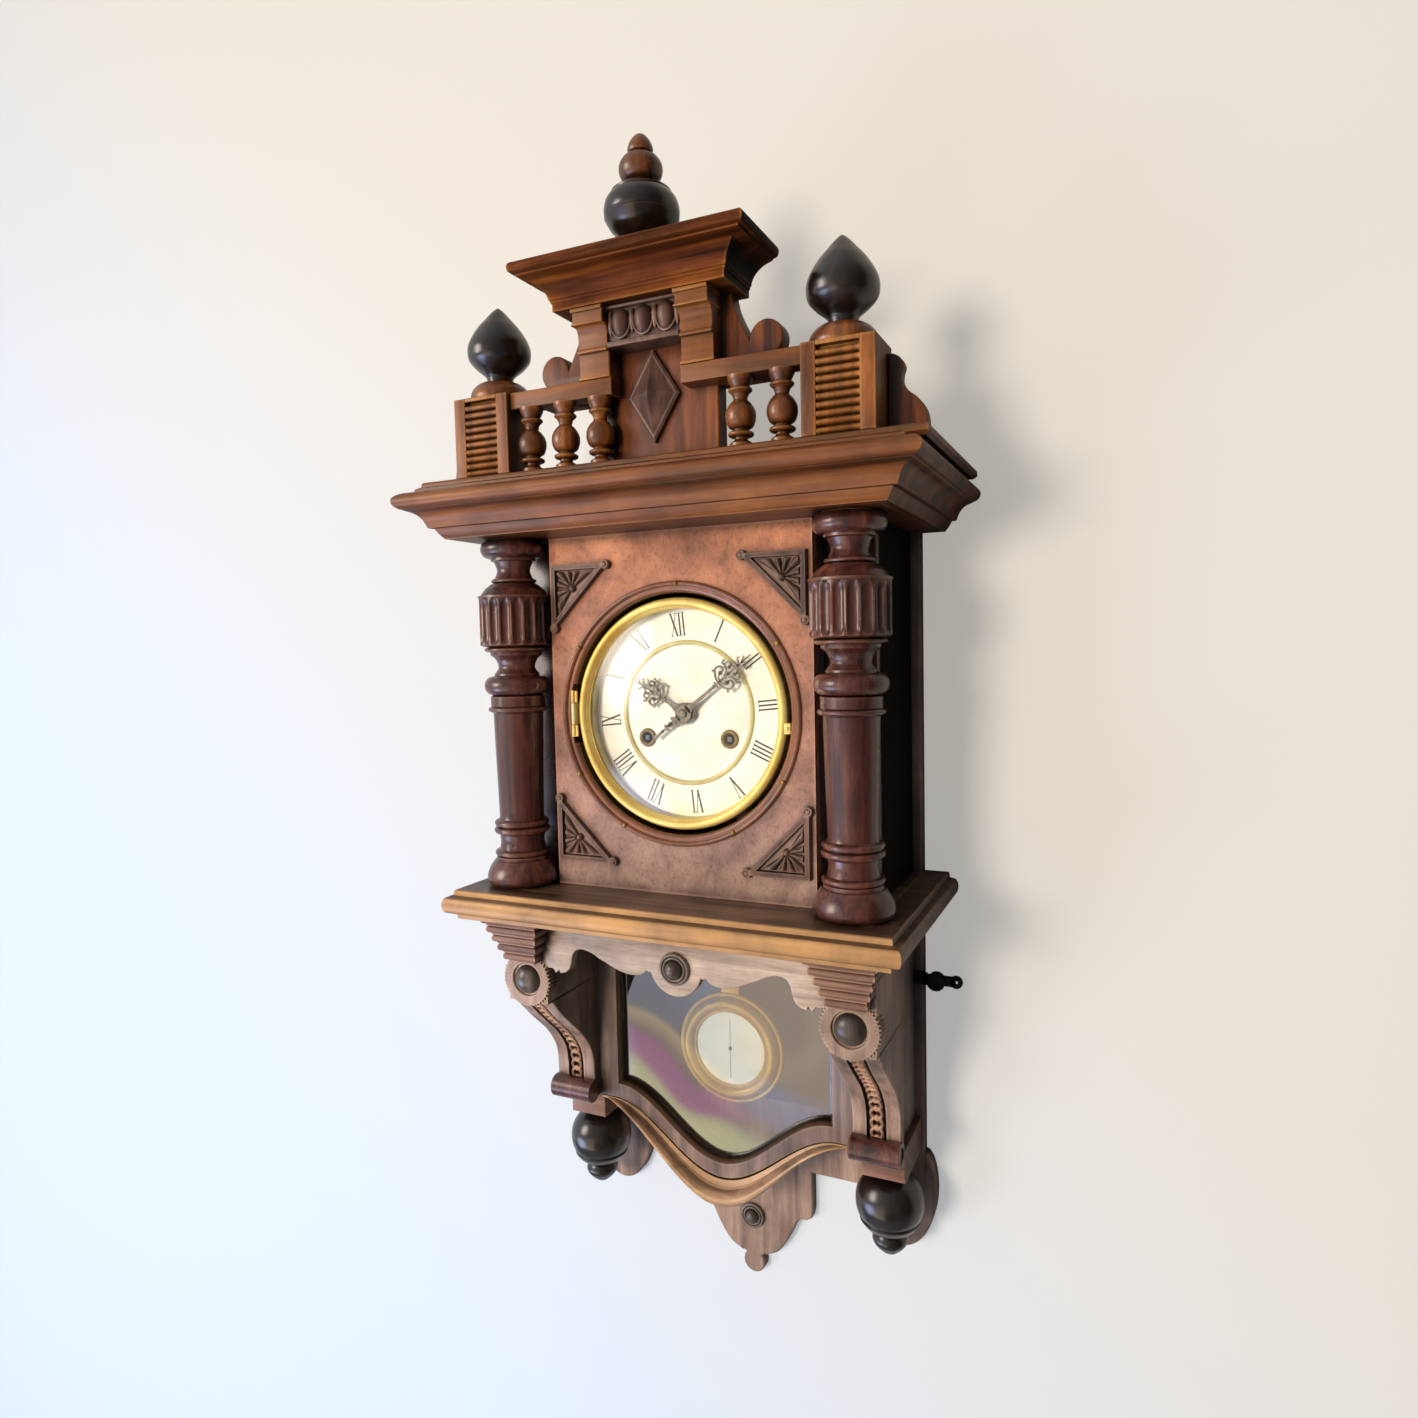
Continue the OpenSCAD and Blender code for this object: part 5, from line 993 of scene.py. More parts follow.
# %% Dial plates and pan
def dial():
    """Turned plates, ring and pan; the pan's inner wall slopes out to the bezel's lip."""
    chapter = np.array([[54, 115.3], [79.2, 115.3], [79.2, 117.3], [54, 117.3]], float)
    centre = chain([[51.4, 115.3], [51.4, 116.5]], [[50.8, 116.7], [6.0, 116.7], [5.4, 116.5],
                                                    [5.4, 115.3]])
    bright = chain([[50.7, 115.3], [50.7, 117.4]], arc(52.5, 117.4, -1.8, 1.0, 0, 180, 10), [[54.3, 115.3]])
    pan = chain([[40, 113.3], [82.5, 113.3], [82.5, 122.4], [80.8, 122.4], [80.2, 121.9]],
                smooth([[79.8, 121.0], [79.2, 119.2], [78.4, 117.9], [77.4, 117.35]], 4),
                [[77.4, 115.3], [40, 115.3]])
    piece("dial_sheet", [ring(chapter, segs=160), ring(centre, segs=128)], ivory, ["dial_plates"])
    eye = chain([[4.0, 115.3], [7.1, 115.3], [7.1, 117.4]], arc(5.6, 117.4, 1.5, 1.1, 0, 180, 8),
                [[4.0, 117.2]])
    grommets = [ring(eye, (x, 0, -19), "y", segs=48) for x in (-34, 34)]
    # Dark iron discs in the winding holes: painted shade inside them.
    holes = [turned(np.array([[4.1, 116.4], [4.1, 117.0]]), (x, 0, -19), "y", 32) for x in (-34, 34)]
    piece("winding_hole_shade", holes, iron)
    hinge = [block(-87.3, -82.2, 113.3, 119.3, -8, 8, 0.4), block(-87.2, -86.0, 113.3, 136, -8, 8, 0.3),
             moved(turned(np.array([[1.7, -8.0], [1.7, 8.0]]), segs=24), HINGE_X, HINGE_Y)]
    base = turned(np.array([[41.0, 113.3], [41.0, 115.1]]), (0, 0, 0), "y", 96)
    piece("dial_pan_spun", [ring(pan, segs=192), ring(bright, segs=160), base] + hinge, pale_brass,
          ["dial_pan"])
    piece("winding_grommets", grommets, bronze)


dial()

# %% [markdown]
# ## Roman numerals
# The numerals stand along the hours, as on a printed chapter ring, and the whole ring sits a
# little turned to the left in its pan. A font could set them, but a numeral needs only bars of
# two widths with short feet, turned to its hour.

# %% Roman numerals
DIAL_TURN = math.radians(5.5)


def bar(x, r0, r1, wide, lean=0.0):
    """One stroke: a thin four-sided plate from radius r0 to r1, leaning by lean at its outer end."""
    a, b = x - lean, x + lean
    return np.array([[a - wide / 2, r0], [a + wide / 2, r0], [b + wide / 2, r1], [b - wide / 2, r1]])


def numeral(letters, r0=57.6, r1=74.6):
    """Strokes of one numeral, listed across: I is a bar, V two bars that meet inside, X two that cross."""
    widths = {"I": 3.1, "V": 6.2, "X": 6.4}
    x = -sum(widths[c] for c in letters) / 2
    strokes = []
    for c in letters:
        mid = x + widths[c] / 2
        if c == "I":
            strokes += [bar(mid, r0, r1, 1.15), bar(mid, r0 - 0.1, r0 + 0.4, 2.5),
                        bar(mid, r1 - 0.4, r1 + 0.1, 2.5)]
        if c == "V":
            strokes += [bar(mid - 1.1, r0, r1, 1.35, -1.2), bar(mid + 1.1, r0, r1, 0.5, 1.2)]
            strokes += [bar(mid - 2.3, r1 - 0.4, r1 + 0.1, 2.6), bar(mid + 2.3, r1 - 0.4, r1 + 0.1, 2.2)]
        if c == "X":
            strokes += [bar(mid, r0, r1, 1.35, -2.2), bar(mid, r0, r1, 0.5, 2.2)]
            strokes += [bar(mid + s * 2.2, r, r + 0.5, 2.2) for s in (-1, 1) for r in (r0 - 0.1, r1 - 0.4)]
        x += widths[c]
    return strokes


def numerals():
    """Each numeral is turned to its hour: place = r out along the hour's line, x across it to its right."""
    parts = []
    hours = ("XII", "I", "II", "III", "IIII", "V", "VI", "VII", "VIII", "IX", "X", "XI")
    for hour, letters in enumerate(hours):
        a = math.radians(30 * hour) - DIAL_TURN
        out, across = np.array([math.sin(a), math.cos(a)]), np.array([math.cos(a), -math.sin(a)])
        for stroke in numeral(letters):
            flat = stroke[:, :1] * across + stroke[:, 1:] * out
            parts.append(plate(flat, 117.25, 117.42, "front", 0.02, 1))
    piece("printed_numerals", parts, ink)


numerals()

# %% [markdown]
# ## Hands
# The hands are pierced from browned steel: a round boss, a slender arm, a nest of scrolls and
# a small leafed tip. Each scroll is a flat strip carried along a curve, so the openwork is
# real openwork, and both hands are made by one function with their own lengths.

# %% Hands
def strip(points, wide, low, high, n=6):
    """A flat strip along a curve: each point gives two edge points, half a width to either side of
    the curve."""
    path = smooth(points, n)
    w = np.interp(np.linspace(0, 1, len(path)), np.linspace(0, 1, len(np.atleast_1d(wide))),
                  np.atleast_1d(wide))[:, None] / 2
    t = np.gradient(path, axis=0)
    side = np.stack([-t[:, 1], t[:, 0]], 1) / np.maximum(np.linalg.norm(t, axis=1, keepdims=True), 1e-9)
    a, b = path + side * w, path - side * w
    edges = ((a, low), (a, high), (b, high), (b, low))
    corners = [np.stack([q[:, 0], np.full(len(q), -f), q[:, 1]], 1) for q, f in edges]
    return tube(np.stack(corners, 1))


def openwork(foot, top, half, low, high):
    """Scrolls between two heights on the hand: a pair that swells out and curls in, a pair above it
    that curls towards the spine, the spine itself, and small discs where they meet."""
    span = top - foot
    parts = [strip([[0, foot - 2], [0, foot + span * 0.5], [0, top + 1]], [1.7, 1.1, 1.5], low, high)]
    for s in (-1, 1):
        def at(*uv):
            return [[s * half * u, foot + span * v] for u, v in uv]
        parts += [strip(at((0.05, -0.02), (0.55, 0.05), (0.98, 0.22), (0.86, 0.42), (0.5, 0.42),
                           (0.45, 0.26)), [1.5, 1.3, 1.7, 1.2], low, high),
                  strip(at((0.1, 0.3), (0.3, 0.52), (0.74, 0.6), (0.72, 0.78), (0.42, 0.8), (0.34, 0.68)),
                        [1.0, 1.5, 1.2], low, high),
                  strip(at((0.72, 0.6), (0.95, 0.56), (1.04, 0.66)), [1.2, 0.8], low, high),
                  strip(at((0.12, 0.98), (0.2, 0.84), (0.44, 0.8)), [1.1, 1.2], low, high),
                  strip(at((0.0, 0.06), (0.35, 0.14), (0.45, 0.26)), [1.0, 1.0], low, high)]
        parts += [turned(np.array([[r, low], [r, high]]), (s * half * u, 0, foot + span * v), "y", 16)
                  for u, v, r in ((0.46, 0.27, 1.5), (0.36, 0.69, 1.25), (0.98, 0.1, 1.0),
                                  (1.04, 0.67, 0.9))]
    return parts + [turned(np.array([[1.7, low], [1.7, high]]), (0, 0, foot + span * 0.5), "y", 20)]

# %% [markdown]
# ## The two hands
# The hour and the minute hand are one pattern in two sizes. The second could be a stretched copy,
# but its strips would grow thick with it. One function takes the lengths and keeps the widths.

# %% The two hands
def hand(long, foot, top, half, boss, f, tail=0.0):
    """A hand that points up: boss, arm with a collar, openwork, and a tip with two leaves."""
    low, high = f, f + 0.8
    parts = [ring(np.array([[3.4, low], [boss, low], [boss, high - 0.2], [boss - 0.3, high], [3.4, high]]),
                  segs=64)]
    arm = [[-boss * 0.55, boss * 0.6], [boss * 0.55, boss * 0.6], [1.5, boss + 5], [1.0, foot - 3],
           [-1.0, foot - 3], [-1.5, boss + 5]]
    parts.append(plate(arm, low, high, "front", 0.15, 1))
    parts += [block(-2.6, 2.6, low, high, foot - 3.4, foot - 2.0, 0.1),
              block(-1.9, 1.9, low, high, foot - 5.2, foot - 4.4, 0.1)]
    parts += openwork(foot, top, half, low, high)
    for s in (-1, 1):
        parts.append(strip([[0, top - 1], [s * 1.6, top + 1.2], [s * 4.2, top + 2.6], [s * 4.0, top + 4.6]],
                           [1.6, 1.4, 0.7], low, high))
        parts.append(strip([[0, top + 3], [s * 1.2, top + 5], [s * 2.8, top + 7.4]], [1.2, 0.6], low, high))
    parts.append(strip([[0, top - 1], [0, top + 5], [0, long]], [1.8, 1.5, 0.5], low, high))
    if tail:
        shank = [[-boss * 0.5, -boss * 0.7], [-1.0, -boss - 5], [-0.9, -tail + 7], [-1.9, -tail],
                 [1.9, -tail], [0.9, -tail + 7], [1.0, -boss - 5], [boss * 0.5, -boss * 0.7]]
        parts.append(plate(shank, low, high, "front", 0.15, 1))
        knobs = ((-2.6, 9.6, 1.5), (2.6, 9.6, 1.5), (0, 13.4, 2.3), (-1.6, 17.4, 1.2), (1.6, 17.4, 1.2),
                 (0, 22, 1.2))
        parts += [turned(np.array([[r, low], [r, high]]), (x, 0, -z), "y", 16) for x, z, r in knobs]
    return parts


def turn_clockwise(part, turn):
    """x' = x cos a + z sin a, z' = z cos a - x sin a."""
    a = math.radians(turn)
    p = part[0]
    return np.stack([p[:, 0] * math.cos(a) + p[:, 2] * math.sin(a), p[:, 1],
                     p[:, 2] * math.cos(a) - p[:, 0] * math.sin(a)], 1), part[1]


def pipe(r0, r1, low, high, sides=40):
    """A plain tube behind a hand."""
    return ring(np.array([[r0, low], [r1, low], [r1, high], [r0, high]]), segs=sides)


hour_parts = [turn_clockwise(p, 301) for p in hand(52.6, 22.5, 39.5, 9.0, 8.0, 121.3)]
hour_parts.append(pipe(2.7, 3.2, 102.8, 122.1))
minute_parts = [turn_clockwise(p, 52) for p in hand(69.4, 37.0, 57.0, 9.6, 6.5, 123.9, tail=31.0)]
minute_nut = np.array([[3.0, 124.0], [3.0, 126.0], [2.6, 126.3], [1.7, 126.4]])
minute_parts += [pipe(1.6, 2.6, 100, 124.7), turned(minute_nut, (0, 0, 0), "y", 6)]
piece("hour_hand_pierced", hour_parts, hazed_hand_steel, ["hour_hand"], "hour_hand", angle=25)
piece("minute_hand_pierced", minute_parts, hazed_hand_steel, ["minute_hand"], "minute_hand",
      angle=25)

# %% [markdown]
# ## Lower case
# Below the shelf a fixed sash holds a pane with a dipped foot. Its lower edge, the moulding
# under it and the pane all follow one curve: low - drop (0.5 + 0.5 cos(pi x / w)).

# %% Sash, pane and moulding
DIP = 49.0


def dipped(half, low, top, drop, wave, n=96):
    """An outline with a dipped lower edge, counter-clockwise from the lower left corner."""
    x = np.linspace(-half, half, n + 1)
    z = low - drop * (0.5 + 0.5 * np.cos(np.pi * np.clip(x / wave, -1, 1)))
    up = np.linspace(low, top, 13)[1:]
    across = np.linspace(half, -half, 25)[1:]
    right_edge = np.stack([0 * up + half, up], 1)
    left_edge = np.stack([0 * up - half, up[::-1]], 1)[1:]
    return chain(np.stack([x, z], 1), right_edge, np.stack([across, 0 * across + top], 1), left_edge)


def facing_rows(rows):
    """A closed wall from outlines at distances from the wall: rows of (outline, distance) joined round."""
    grid = np.stack([np.stack([o[:, 0], np.full(len(o), -float(f)), o[:, 1]], 1) for o, f in rows], 0)
    return skin(grid, True, True)


def sash():
    """The frame's flat face ends in a small round at the light, and a black reveal slopes back from it
    to the pane: dark putty, deepened as painted shade in the rebate. A dark lining inside the case
    behind the pendulum is painted shade too."""
    out = dipped(SIDE_IN, SASH_LOW, SHELF_LOW, DIP, 98.8)
    light = dipped(92.8, -318, -167, DIP, 92.8)
    grow = -inward(light)
    rows = [(out, 62.8), (out, 73.6), (out + inward(out) * 0.8, SASH_FRONT),
            (light + grow * 2.4, SASH_FRONT), (light + grow * 1.7, 74.5),
            (light + grow * 1.5, 73.8), (light + grow * 1.5, 62.8)]
    piece("sash_moulded", [facing_rows(rows)], sash_wood, ["sash_frame"])
    # A black strip on the putty and reveal: partly their dark colour, partly painted shade in the deep
    # rebate.
    slope = ((1.4, 66.0), (-2.6, 66.0), (-2.6, 66.8), (-1.2, 70.6), (1.4, 73.4))
    reveal = [(light + grow * out_by, f) for out_by, f in slope]
    piece("pane_putty_painted_shade", [facing_rows(reveal)], ebonised)
    piece("pane_drawn", [plate(light + inward(light) * 0.1, 62.9, 65.8, "front", 0.1, 1, 0.1)], pane_glass,
          ["sash_glass"], angle=15)
    # A dark sheet inside the case behind the pendulum: painted shade.
    piece("recess_shade_lining", [block(-132.6, 132.6, 10, 11.6, -340, -156, 0.1)], ebonised)


sash()

# %% [markdown]
# ## Moulding under the sash
# A broad half-round runs under the sash and follows its dip. A profile swept along a curve would
# lean over on the dip's steep sides, so each row is blended between an upper and a lower edge.

# %% Moulding under the sash
def base_moulding():
    """Under the sash: a dark cove, then one broad half-round back to the wall. Both edges follow the
    sash's dip, the lower one 19 mm deeper, and the round flattens out at its two ends."""
    half = 110.6
    x = np.linspace(-1, 1, 97)
    upper = -332.2 - (DIP + 1) * (0.5 + 0.5 * np.cos(np.pi * np.clip(x * half / 98.8, -1, 1)))
    lower = -334 - (DIP + 19) * (0.5 + 0.5 * np.cos(np.pi * np.clip(x * half / 105.8, -1, 1)))
    rows = [(0, 10), (0, SASH_FRONT), (0.12, 75.0), (0.25, 75.8), (0.33, 77.4), (0.36, 79.8), (0.38, 81.6),
            (0.44, 83.8), (0.54, 85.4),
            (0.66, 86.0), (0.78, 85.4), (0.88, 83.6), (0.95, 81.0), (1.0, 77.4), (1.0, 10)]
    swell = np.clip(1 - (abs(x * half) / 105.8) ** 6, 0, 1)
    grid = []
    for k, f in rows:
        stands = SASH_FRONT + (f - SASH_FRONT) * swell if f > SASH_FRONT else f + 0 * x
        grid.append(np.stack([x * half, -stands, upper + (lower - upper) * k], 1))
    grid = np.stack(grid, 0)
    points, faces = skin(grid, True, False)
    n, m = grid.shape[:2]
    faces += [[i * m for i in range(n)], [i * m + m - 1 for i in range(n)]]
    piece("foot_moulding", [(points, faces)], foot_wood, ["base_moulding"], angle=24)


base_moulding()

# %% [markdown]
# ## Apron and buttons
# A thin scalloped board hangs under the front of the shelf and carries a turned button. Its
# sawn edge is a curve through a few points; the button is a small turning with a ball middle.

# %% Apron and buttons
def apron():
    """The board under the shelf: scallops each side of a round lobe that holds a turned button."""
    lobe = arc(0, BUTTON_Z, 21, 21, -90, -14, 16)
    edge = smooth([[24, -189.2], [29, -193], [36, -194.1], [43, -193.4], [50, -191.5], [58, -188],
                   [64, -185.5], [70, -182.5], [76, -180.5], [81, -180], [85.6, -181.4],
                   [88.6, -185.6], [90, -192], [91.8, -196.4], [95.6, -199.8], [100.4, -201]], 4)
    right = chain([[0.1, -205.5]], lobe[1:], [[22.4, -190.2]], edge,
                  [[101.4, -198.4], [104.4, -201.4], [107, -198.0], [113.6, -198], [113.6, SHELF_LOW]])
    piece("apron_scalloped", [plate(two_halves(right), 139, 147, "front", 0.9, 3, 0.8)], pale_across,
          ["apron"])


def button(radius, x, f, z):
    """A turned button: a rounded rim, a groove, and a ball-shaped middle."""
    r = radius
    profile = chain([[r, f]], arc(r - 1.4, f + 1.4, 1.4, 1.6, 0, 110, 6), [[r - 2.5, f + 1.6]],
                    arc(r - 3.7, f + 1.8, 1.1, 1.6, 20, 160, 6),
                    [[r - 5.1, f + 1.4]], arc(0, f + 1.2, r - 5.2, r * 0.62, 6, 90, 14))
    return turned(profile, (x, 0, z), "y", 64)


apron()
piece("buttons_turned", [button(12, 0, 147, BUTTON_Z), button(11, 0, 10, -449)], button_wood,
      ["turned_buttons"])

# %% [markdown]
# ## Consoles
# Each console is sawn to an S-curve, with a round lobe above and a roll at its foot. Down its
# front runs a sunk channel with a carved chain in it. The front is a grid: one way follows the
# S-curve, the other crosses the width, and the depth is lowered inside the channel.

# %% Consoles
FRONT = smooth([[143, -227], [140, -229.4], [134, -236.4], [126, -245], [117, -253.8], [108, -262.2],
                [99, -271], [91.6, -280.6], [86.4, -289.6],
                [83.8, -299.4], [83.2, -311.6], [83.4, -331.9]], 6)


def console_front():
    """The S-curve's front, with a channel sunk 5 mm between two fillets. The channel opens from a
    narrow end at its top."""
    t = np.gradient(FRONT, axis=0)
    out = np.stack([-t[:, 1], t[:, 0]], 1) / np.linalg.norm(t, axis=1, keepdims=True)
    ease = np.clip(np.linspace(0, 6, len(FRONT)), 0, 1)[:, None]
    wide = 1.2 + 6.0 * ease
    right_half = [wide, wide + 0.4, 17.6 + 0 * wide, 18.2 + 0 * wide]
    x = np.concatenate([-column for column in right_half[::-1]] + right_half, 1)
    sink = np.array([0.6, 0, 0, 5.0, 5.0, 0, 0, 0.6]) * np.where(np.arange(8) % 7 == 0, 1, ease)
    depth, high = (FRONT[:, i][:, None] - out[:, i][:, None] * sink for i in (0, 1))
    front = np.stack([x, -depth, high], -1)
    back = front[:, ::-1].copy()
    back[..., 1] = -SASH_FRONT
    back[..., 2] = FRONT[:, 1][:, None]
    return tube(np.concatenate([front, back], 1)), out

# %% [markdown]
# ## Carved chain
# The channel holds a carved chain of rings and beads. An array along a curve could set them out,
# but it brings its own twist, so the place and tilt of each ring come from the distance
# travelled down the S-curve.

# %% Carved chain
def chain_links(out):
    """Rings of a carved chain laid down the channel 7.6 mm apart, each over the edge of the next,
    with a small bead between."""
    travelled = np.concatenate([[0], np.cumsum(np.linalg.norm(np.diff(FRONT, axis=0), axis=1))])
    a, b = np.arange(24) * TAU / 24, np.arange(8) * TAU / 8
    links = []
    for k, travel in enumerate(np.arange(10, travelled[-1] - 12, 3.8)):
        f, z = (np.interp(travel, travelled, FRONT[:, j]) for j in (0, 1))
        nf, nz = (np.interp(travel, travelled, out[:, j]) for j in (0, 1))
        big, thick = ((4.2, 1.5), (1.3, 1.2))[k % 2]
        r = big + thick * np.cos(b)[None, :]
        u, v = r * np.cos(a)[:, None], r * np.sin(a)[:, None]
        painted_wall_fill = -2.2 + thick * np.sin(b)[None, :] * 1.4 + 0 * u
        links.append(skin(np.stack([u, -(f + nf * painted_wall_fill - nz * v), z + nz * painted_wall_fill + nf * v], -1), True, True))
    return links

# %% [markdown]
# ## Lobes, rolls and reeded blocks
# A console's lobe has an edge milled like a coin's, and over it stands a stack of reeded tiers. The
# milling could be a bump, but it shows in the outline, so the turning's radius is rippled 44
# times. Each tier is a moulding round three sides, a little narrower than the one above it.

# %% Lobes, rolls and reeded blocks
def console():
    """Board, lobe, channelled front and roll of one console, before it is moved into place."""
    body, out = console_front()
    upper = plate([[-18.2, -228], [18.2, -228], [18.2, SHELF_LOW], [-18.2, SHELF_LOW]], SASH_FRONT, 146.8,
                  "front", 0.6, 2)
    disc = chain([[17, 136], [21.0, 136.4], [21.0, 148.2], [20.4, 149]], [[13.6, 149], [13.0, 148.6]],
                 [[12.6, 147.6], [12.2, 144.6]])
    lobe = turned(disc, (0, 0, LOBE_Z), "y", 352,
                  carve=lambda r, t, h: r + 0.9 * (r > 20.9) * np.cos(44 * t))
    profile = chain([[6.8, -19.2], [9.0, -19.2]], [[9.4, -18.6], [9.4, 18.6]],
                    [[9.0, 19.2], [6.8, 19.2], [6.0, 18.2]])
    roll = turned(profile, (0, -85.5, -324.7), "x", 48)
    ball = turned(chain([[12.2, 144.4], [12.0, 145.6]], arc(0, 145.6, 11.6, 8.6, 4, 90, 18)),
                  (0, 0, LOBE_Z), "y", 64)
    return [body, upper, lobe], [roll], [ball], chain_links(out)


def consoles():
    """Consoles, their reeded blocks, their feet, and the dark half-balls on the lobes."""
    wood, rolls, balls, links = console()

    def place(parts):
        """Both consoles' copies of some parts."""
        return both(*[moved(p, CONSOLE_X) for p in parts])

    piece("consoles_carved", place(wood), pale_up, ["consoles"])
    piece("console_rolls", place(rolls), stained_up)
    piece("console_chains", place(links), chain_wood)
    piece("console_half_balls", place(balls), button_wood)
    blocks = []
    for i in range(5):
        half, front, top = 25.6 - 2.6 * i, 171 - 3.3 * i, SHELF_LOW - 7.8 * i
        wall = chain([[-0.6, top]], arc(-3.0, top - 3.2, 3.0, 3.1, 84, -70, 12),
                     [[-3.2, top - 6.4], [-3.2, top - 7.8]])
        rows = []
        for w, z in wall:
            wide, ahead = half + w, -front - w
            rows.append([[-wide, -122, z], [-wide, ahead, z], [wide, ahead, z], [wide, -122, z]])
        blocks.append(tube(np.array(rows)))
    feet = [block(-17, 17, 10, 66, -357.5, SASH_LOW, 1.2)]
    piece("console_blocks_reeded", place(blocks + feet), block_wood, ["console_blocks"])


consoles()

# %% [markdown]
# ## Pendulum
# The bob is a dished brass ring round a plain ivory disc with a fine upright line. The rod is
# a flat walnut lath. The bob could be one flattened ball, but light runs along its dish, so it is
# turned from a drawn section, and the disc and its line are pieces with finishes of their own.

# %% Pendulum
def pendulum():
    """Rod, bob and disc ride on the pendulum body. The disc stays plain but for its line and its
    centre square."""
    profile = chain([[4, 46.5], [45.9, 46.5], [46.6, 47.2], [46.6, 49.2]],
                    arc(44.9, 49.4, 1.7, 1.9, -5, 100, 8),
                    smooth([[43.6, 51.0], [41.4, 53.8], [38.4, 55.6], [35.0, 55.0], [32.6, 52.8]], 5),
                    arc(31.4, 52.2, 1.1, 1.1, 30, 160, 6), [[30.3, 51.4], [30.3, 50.2], [4, 50.2]])
    bob = [ring(profile, (0, 0, BOB_Z), "y", segs=160), block(-8, 8, 46.5, 50.4, -237, -230.6, 0.6)]
    piece("bob_spun", bob, bob_brass, ["pendulum_bob"], "pendulum")
    disc = turned(np.array([[30.4, 50.0], [30.4, 51.6], [30.0, 51.9]]), (0, 0, BOB_Z), "y", 128)
    piece("bob_disc", [disc], ivory, (), "pendulum")
    marks = [block(-0.22, 0.22, 51.8, 52.0, -308, -258, 0.02),
             block(-1.5, 1.5, 51.8, 52.05, -284.1, -281.1, 0.02)]
    piece("bob_marks", marks, ink, (), "pendulum")
    rod = [block(-4, 4, 42.5, 45.5, -236, 12, 0.5), block(-4, 4, 42.1, 45.9, 8, 14, 0.4),
           block(-1.6, 1.6, 43.8, 44.2, 12, 34, 0.05),
           moved(turned(np.array([[1.5, -321.2], [1.5, -237.0]]), segs=24), 0, -44)]
    piece("pendulum_lath", rod, walnut_up, ["pendulum_rod"], "pendulum")


pendulum()

# %% [markdown]
# ## Lugs and thumbscrews
# Two iron lugs with thumbscrews steady the case against the wall. They are bars and rings, so
# plain blocks and turned rings are enough, and each screw rides on its own body.

# %% Lugs and thumbscrews
def lug():
    """A flat iron bar with two eyes, and its two holes."""
    arm = block(150, 176, 10, 13, -221, -213, 0.6)
    eye = ring(np.array([[1.6, 10], [5, 10], [5, 12.4], [4.4, 13], [1.6, 13]]), (176.4, 0, LUG_Z), "y",
               segs=40)
    seat = ring(np.array([[2.6, 10], [6.6, 10], [6.6, 12.6], [6.0, 13.2], [2.6, 13.2]]),
                (SCREW_X, 0, LUG_Z), "y", segs=40)
    plate_end = block(143.4, 154, 10, 13, -222, -212, 0.8)
    return [arm, eye, seat, plate_end]


def thumbscrew():
    """A headed screw whose edge is nicked for the fingers; it rides on its own body."""
    head = turned(chain([[2.5, 0.5], [2.5, 14.0], [6.4, 14.0], [7.4, 14.8], [7.4, 17.4], [6.6, 18.0],
                         [1.2, 18.2]]), (SCREW_X, 0, LUG_Z), "y", 96,
                  carve=lambda r, t, h: r - 0.45 * (r > 6) * (0.5 + 0.5 * np.cos(24 * t)))
    return head


piece("steady_lugs_forged", both(*lug()), iron, ["steady_lugs"])
piece("thumbscrew_right_turned", [thumbscrew()], iron, ["thumbscrew_right"], "thumbscrew_right")
piece("thumbscrew_left_turned", [mirrored(thumbscrew())], iron, ["thumbscrew_left"],
      "thumbscrew_left")

# %% [markdown]
# ## Kept pieces of the skeleton
# The movement behind the dial is already modelled tooth by tooth in the skeleton. It needs no
# second shape, only its metals.

# %% Kept pieces of the skeleton
KEPT = {"hanging_plate": brass_dull, "bezel_pin": steel, "motion_wheel": brass,
        "movement_frame": brass_dull, "going_barrel": brass, "strike_barrel": brass,
        "going_arbor": steel, "strike_arbor": steel, "second_wheel": brass, "centre_wheel": brass,
        "third_wheel": brass, "escape_wheel": brass,
        "strike_wheel": brass, "fly": brass, "anchor": steel, "rating_nut": brass, "gong": iron,
        "gong_hammer": brass_dull}
for node_name, finish in KEPT.items():
    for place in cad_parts[node_name].material_slots:
        place.material = finish
print("kept pieces dressed:", len(KEPT))

# %% [markdown]
# ## Wall
# The clock hangs on a pale painted wall. A white background could stand in for it, but a sheet
# right behind the clock catches its soft shadow. Its colour runs from bluish at the lower left to
# warmer on the right, painted light from the cool glow low on the left, and a glow that only the
# camera sees paints fill light into the clock's shadow.

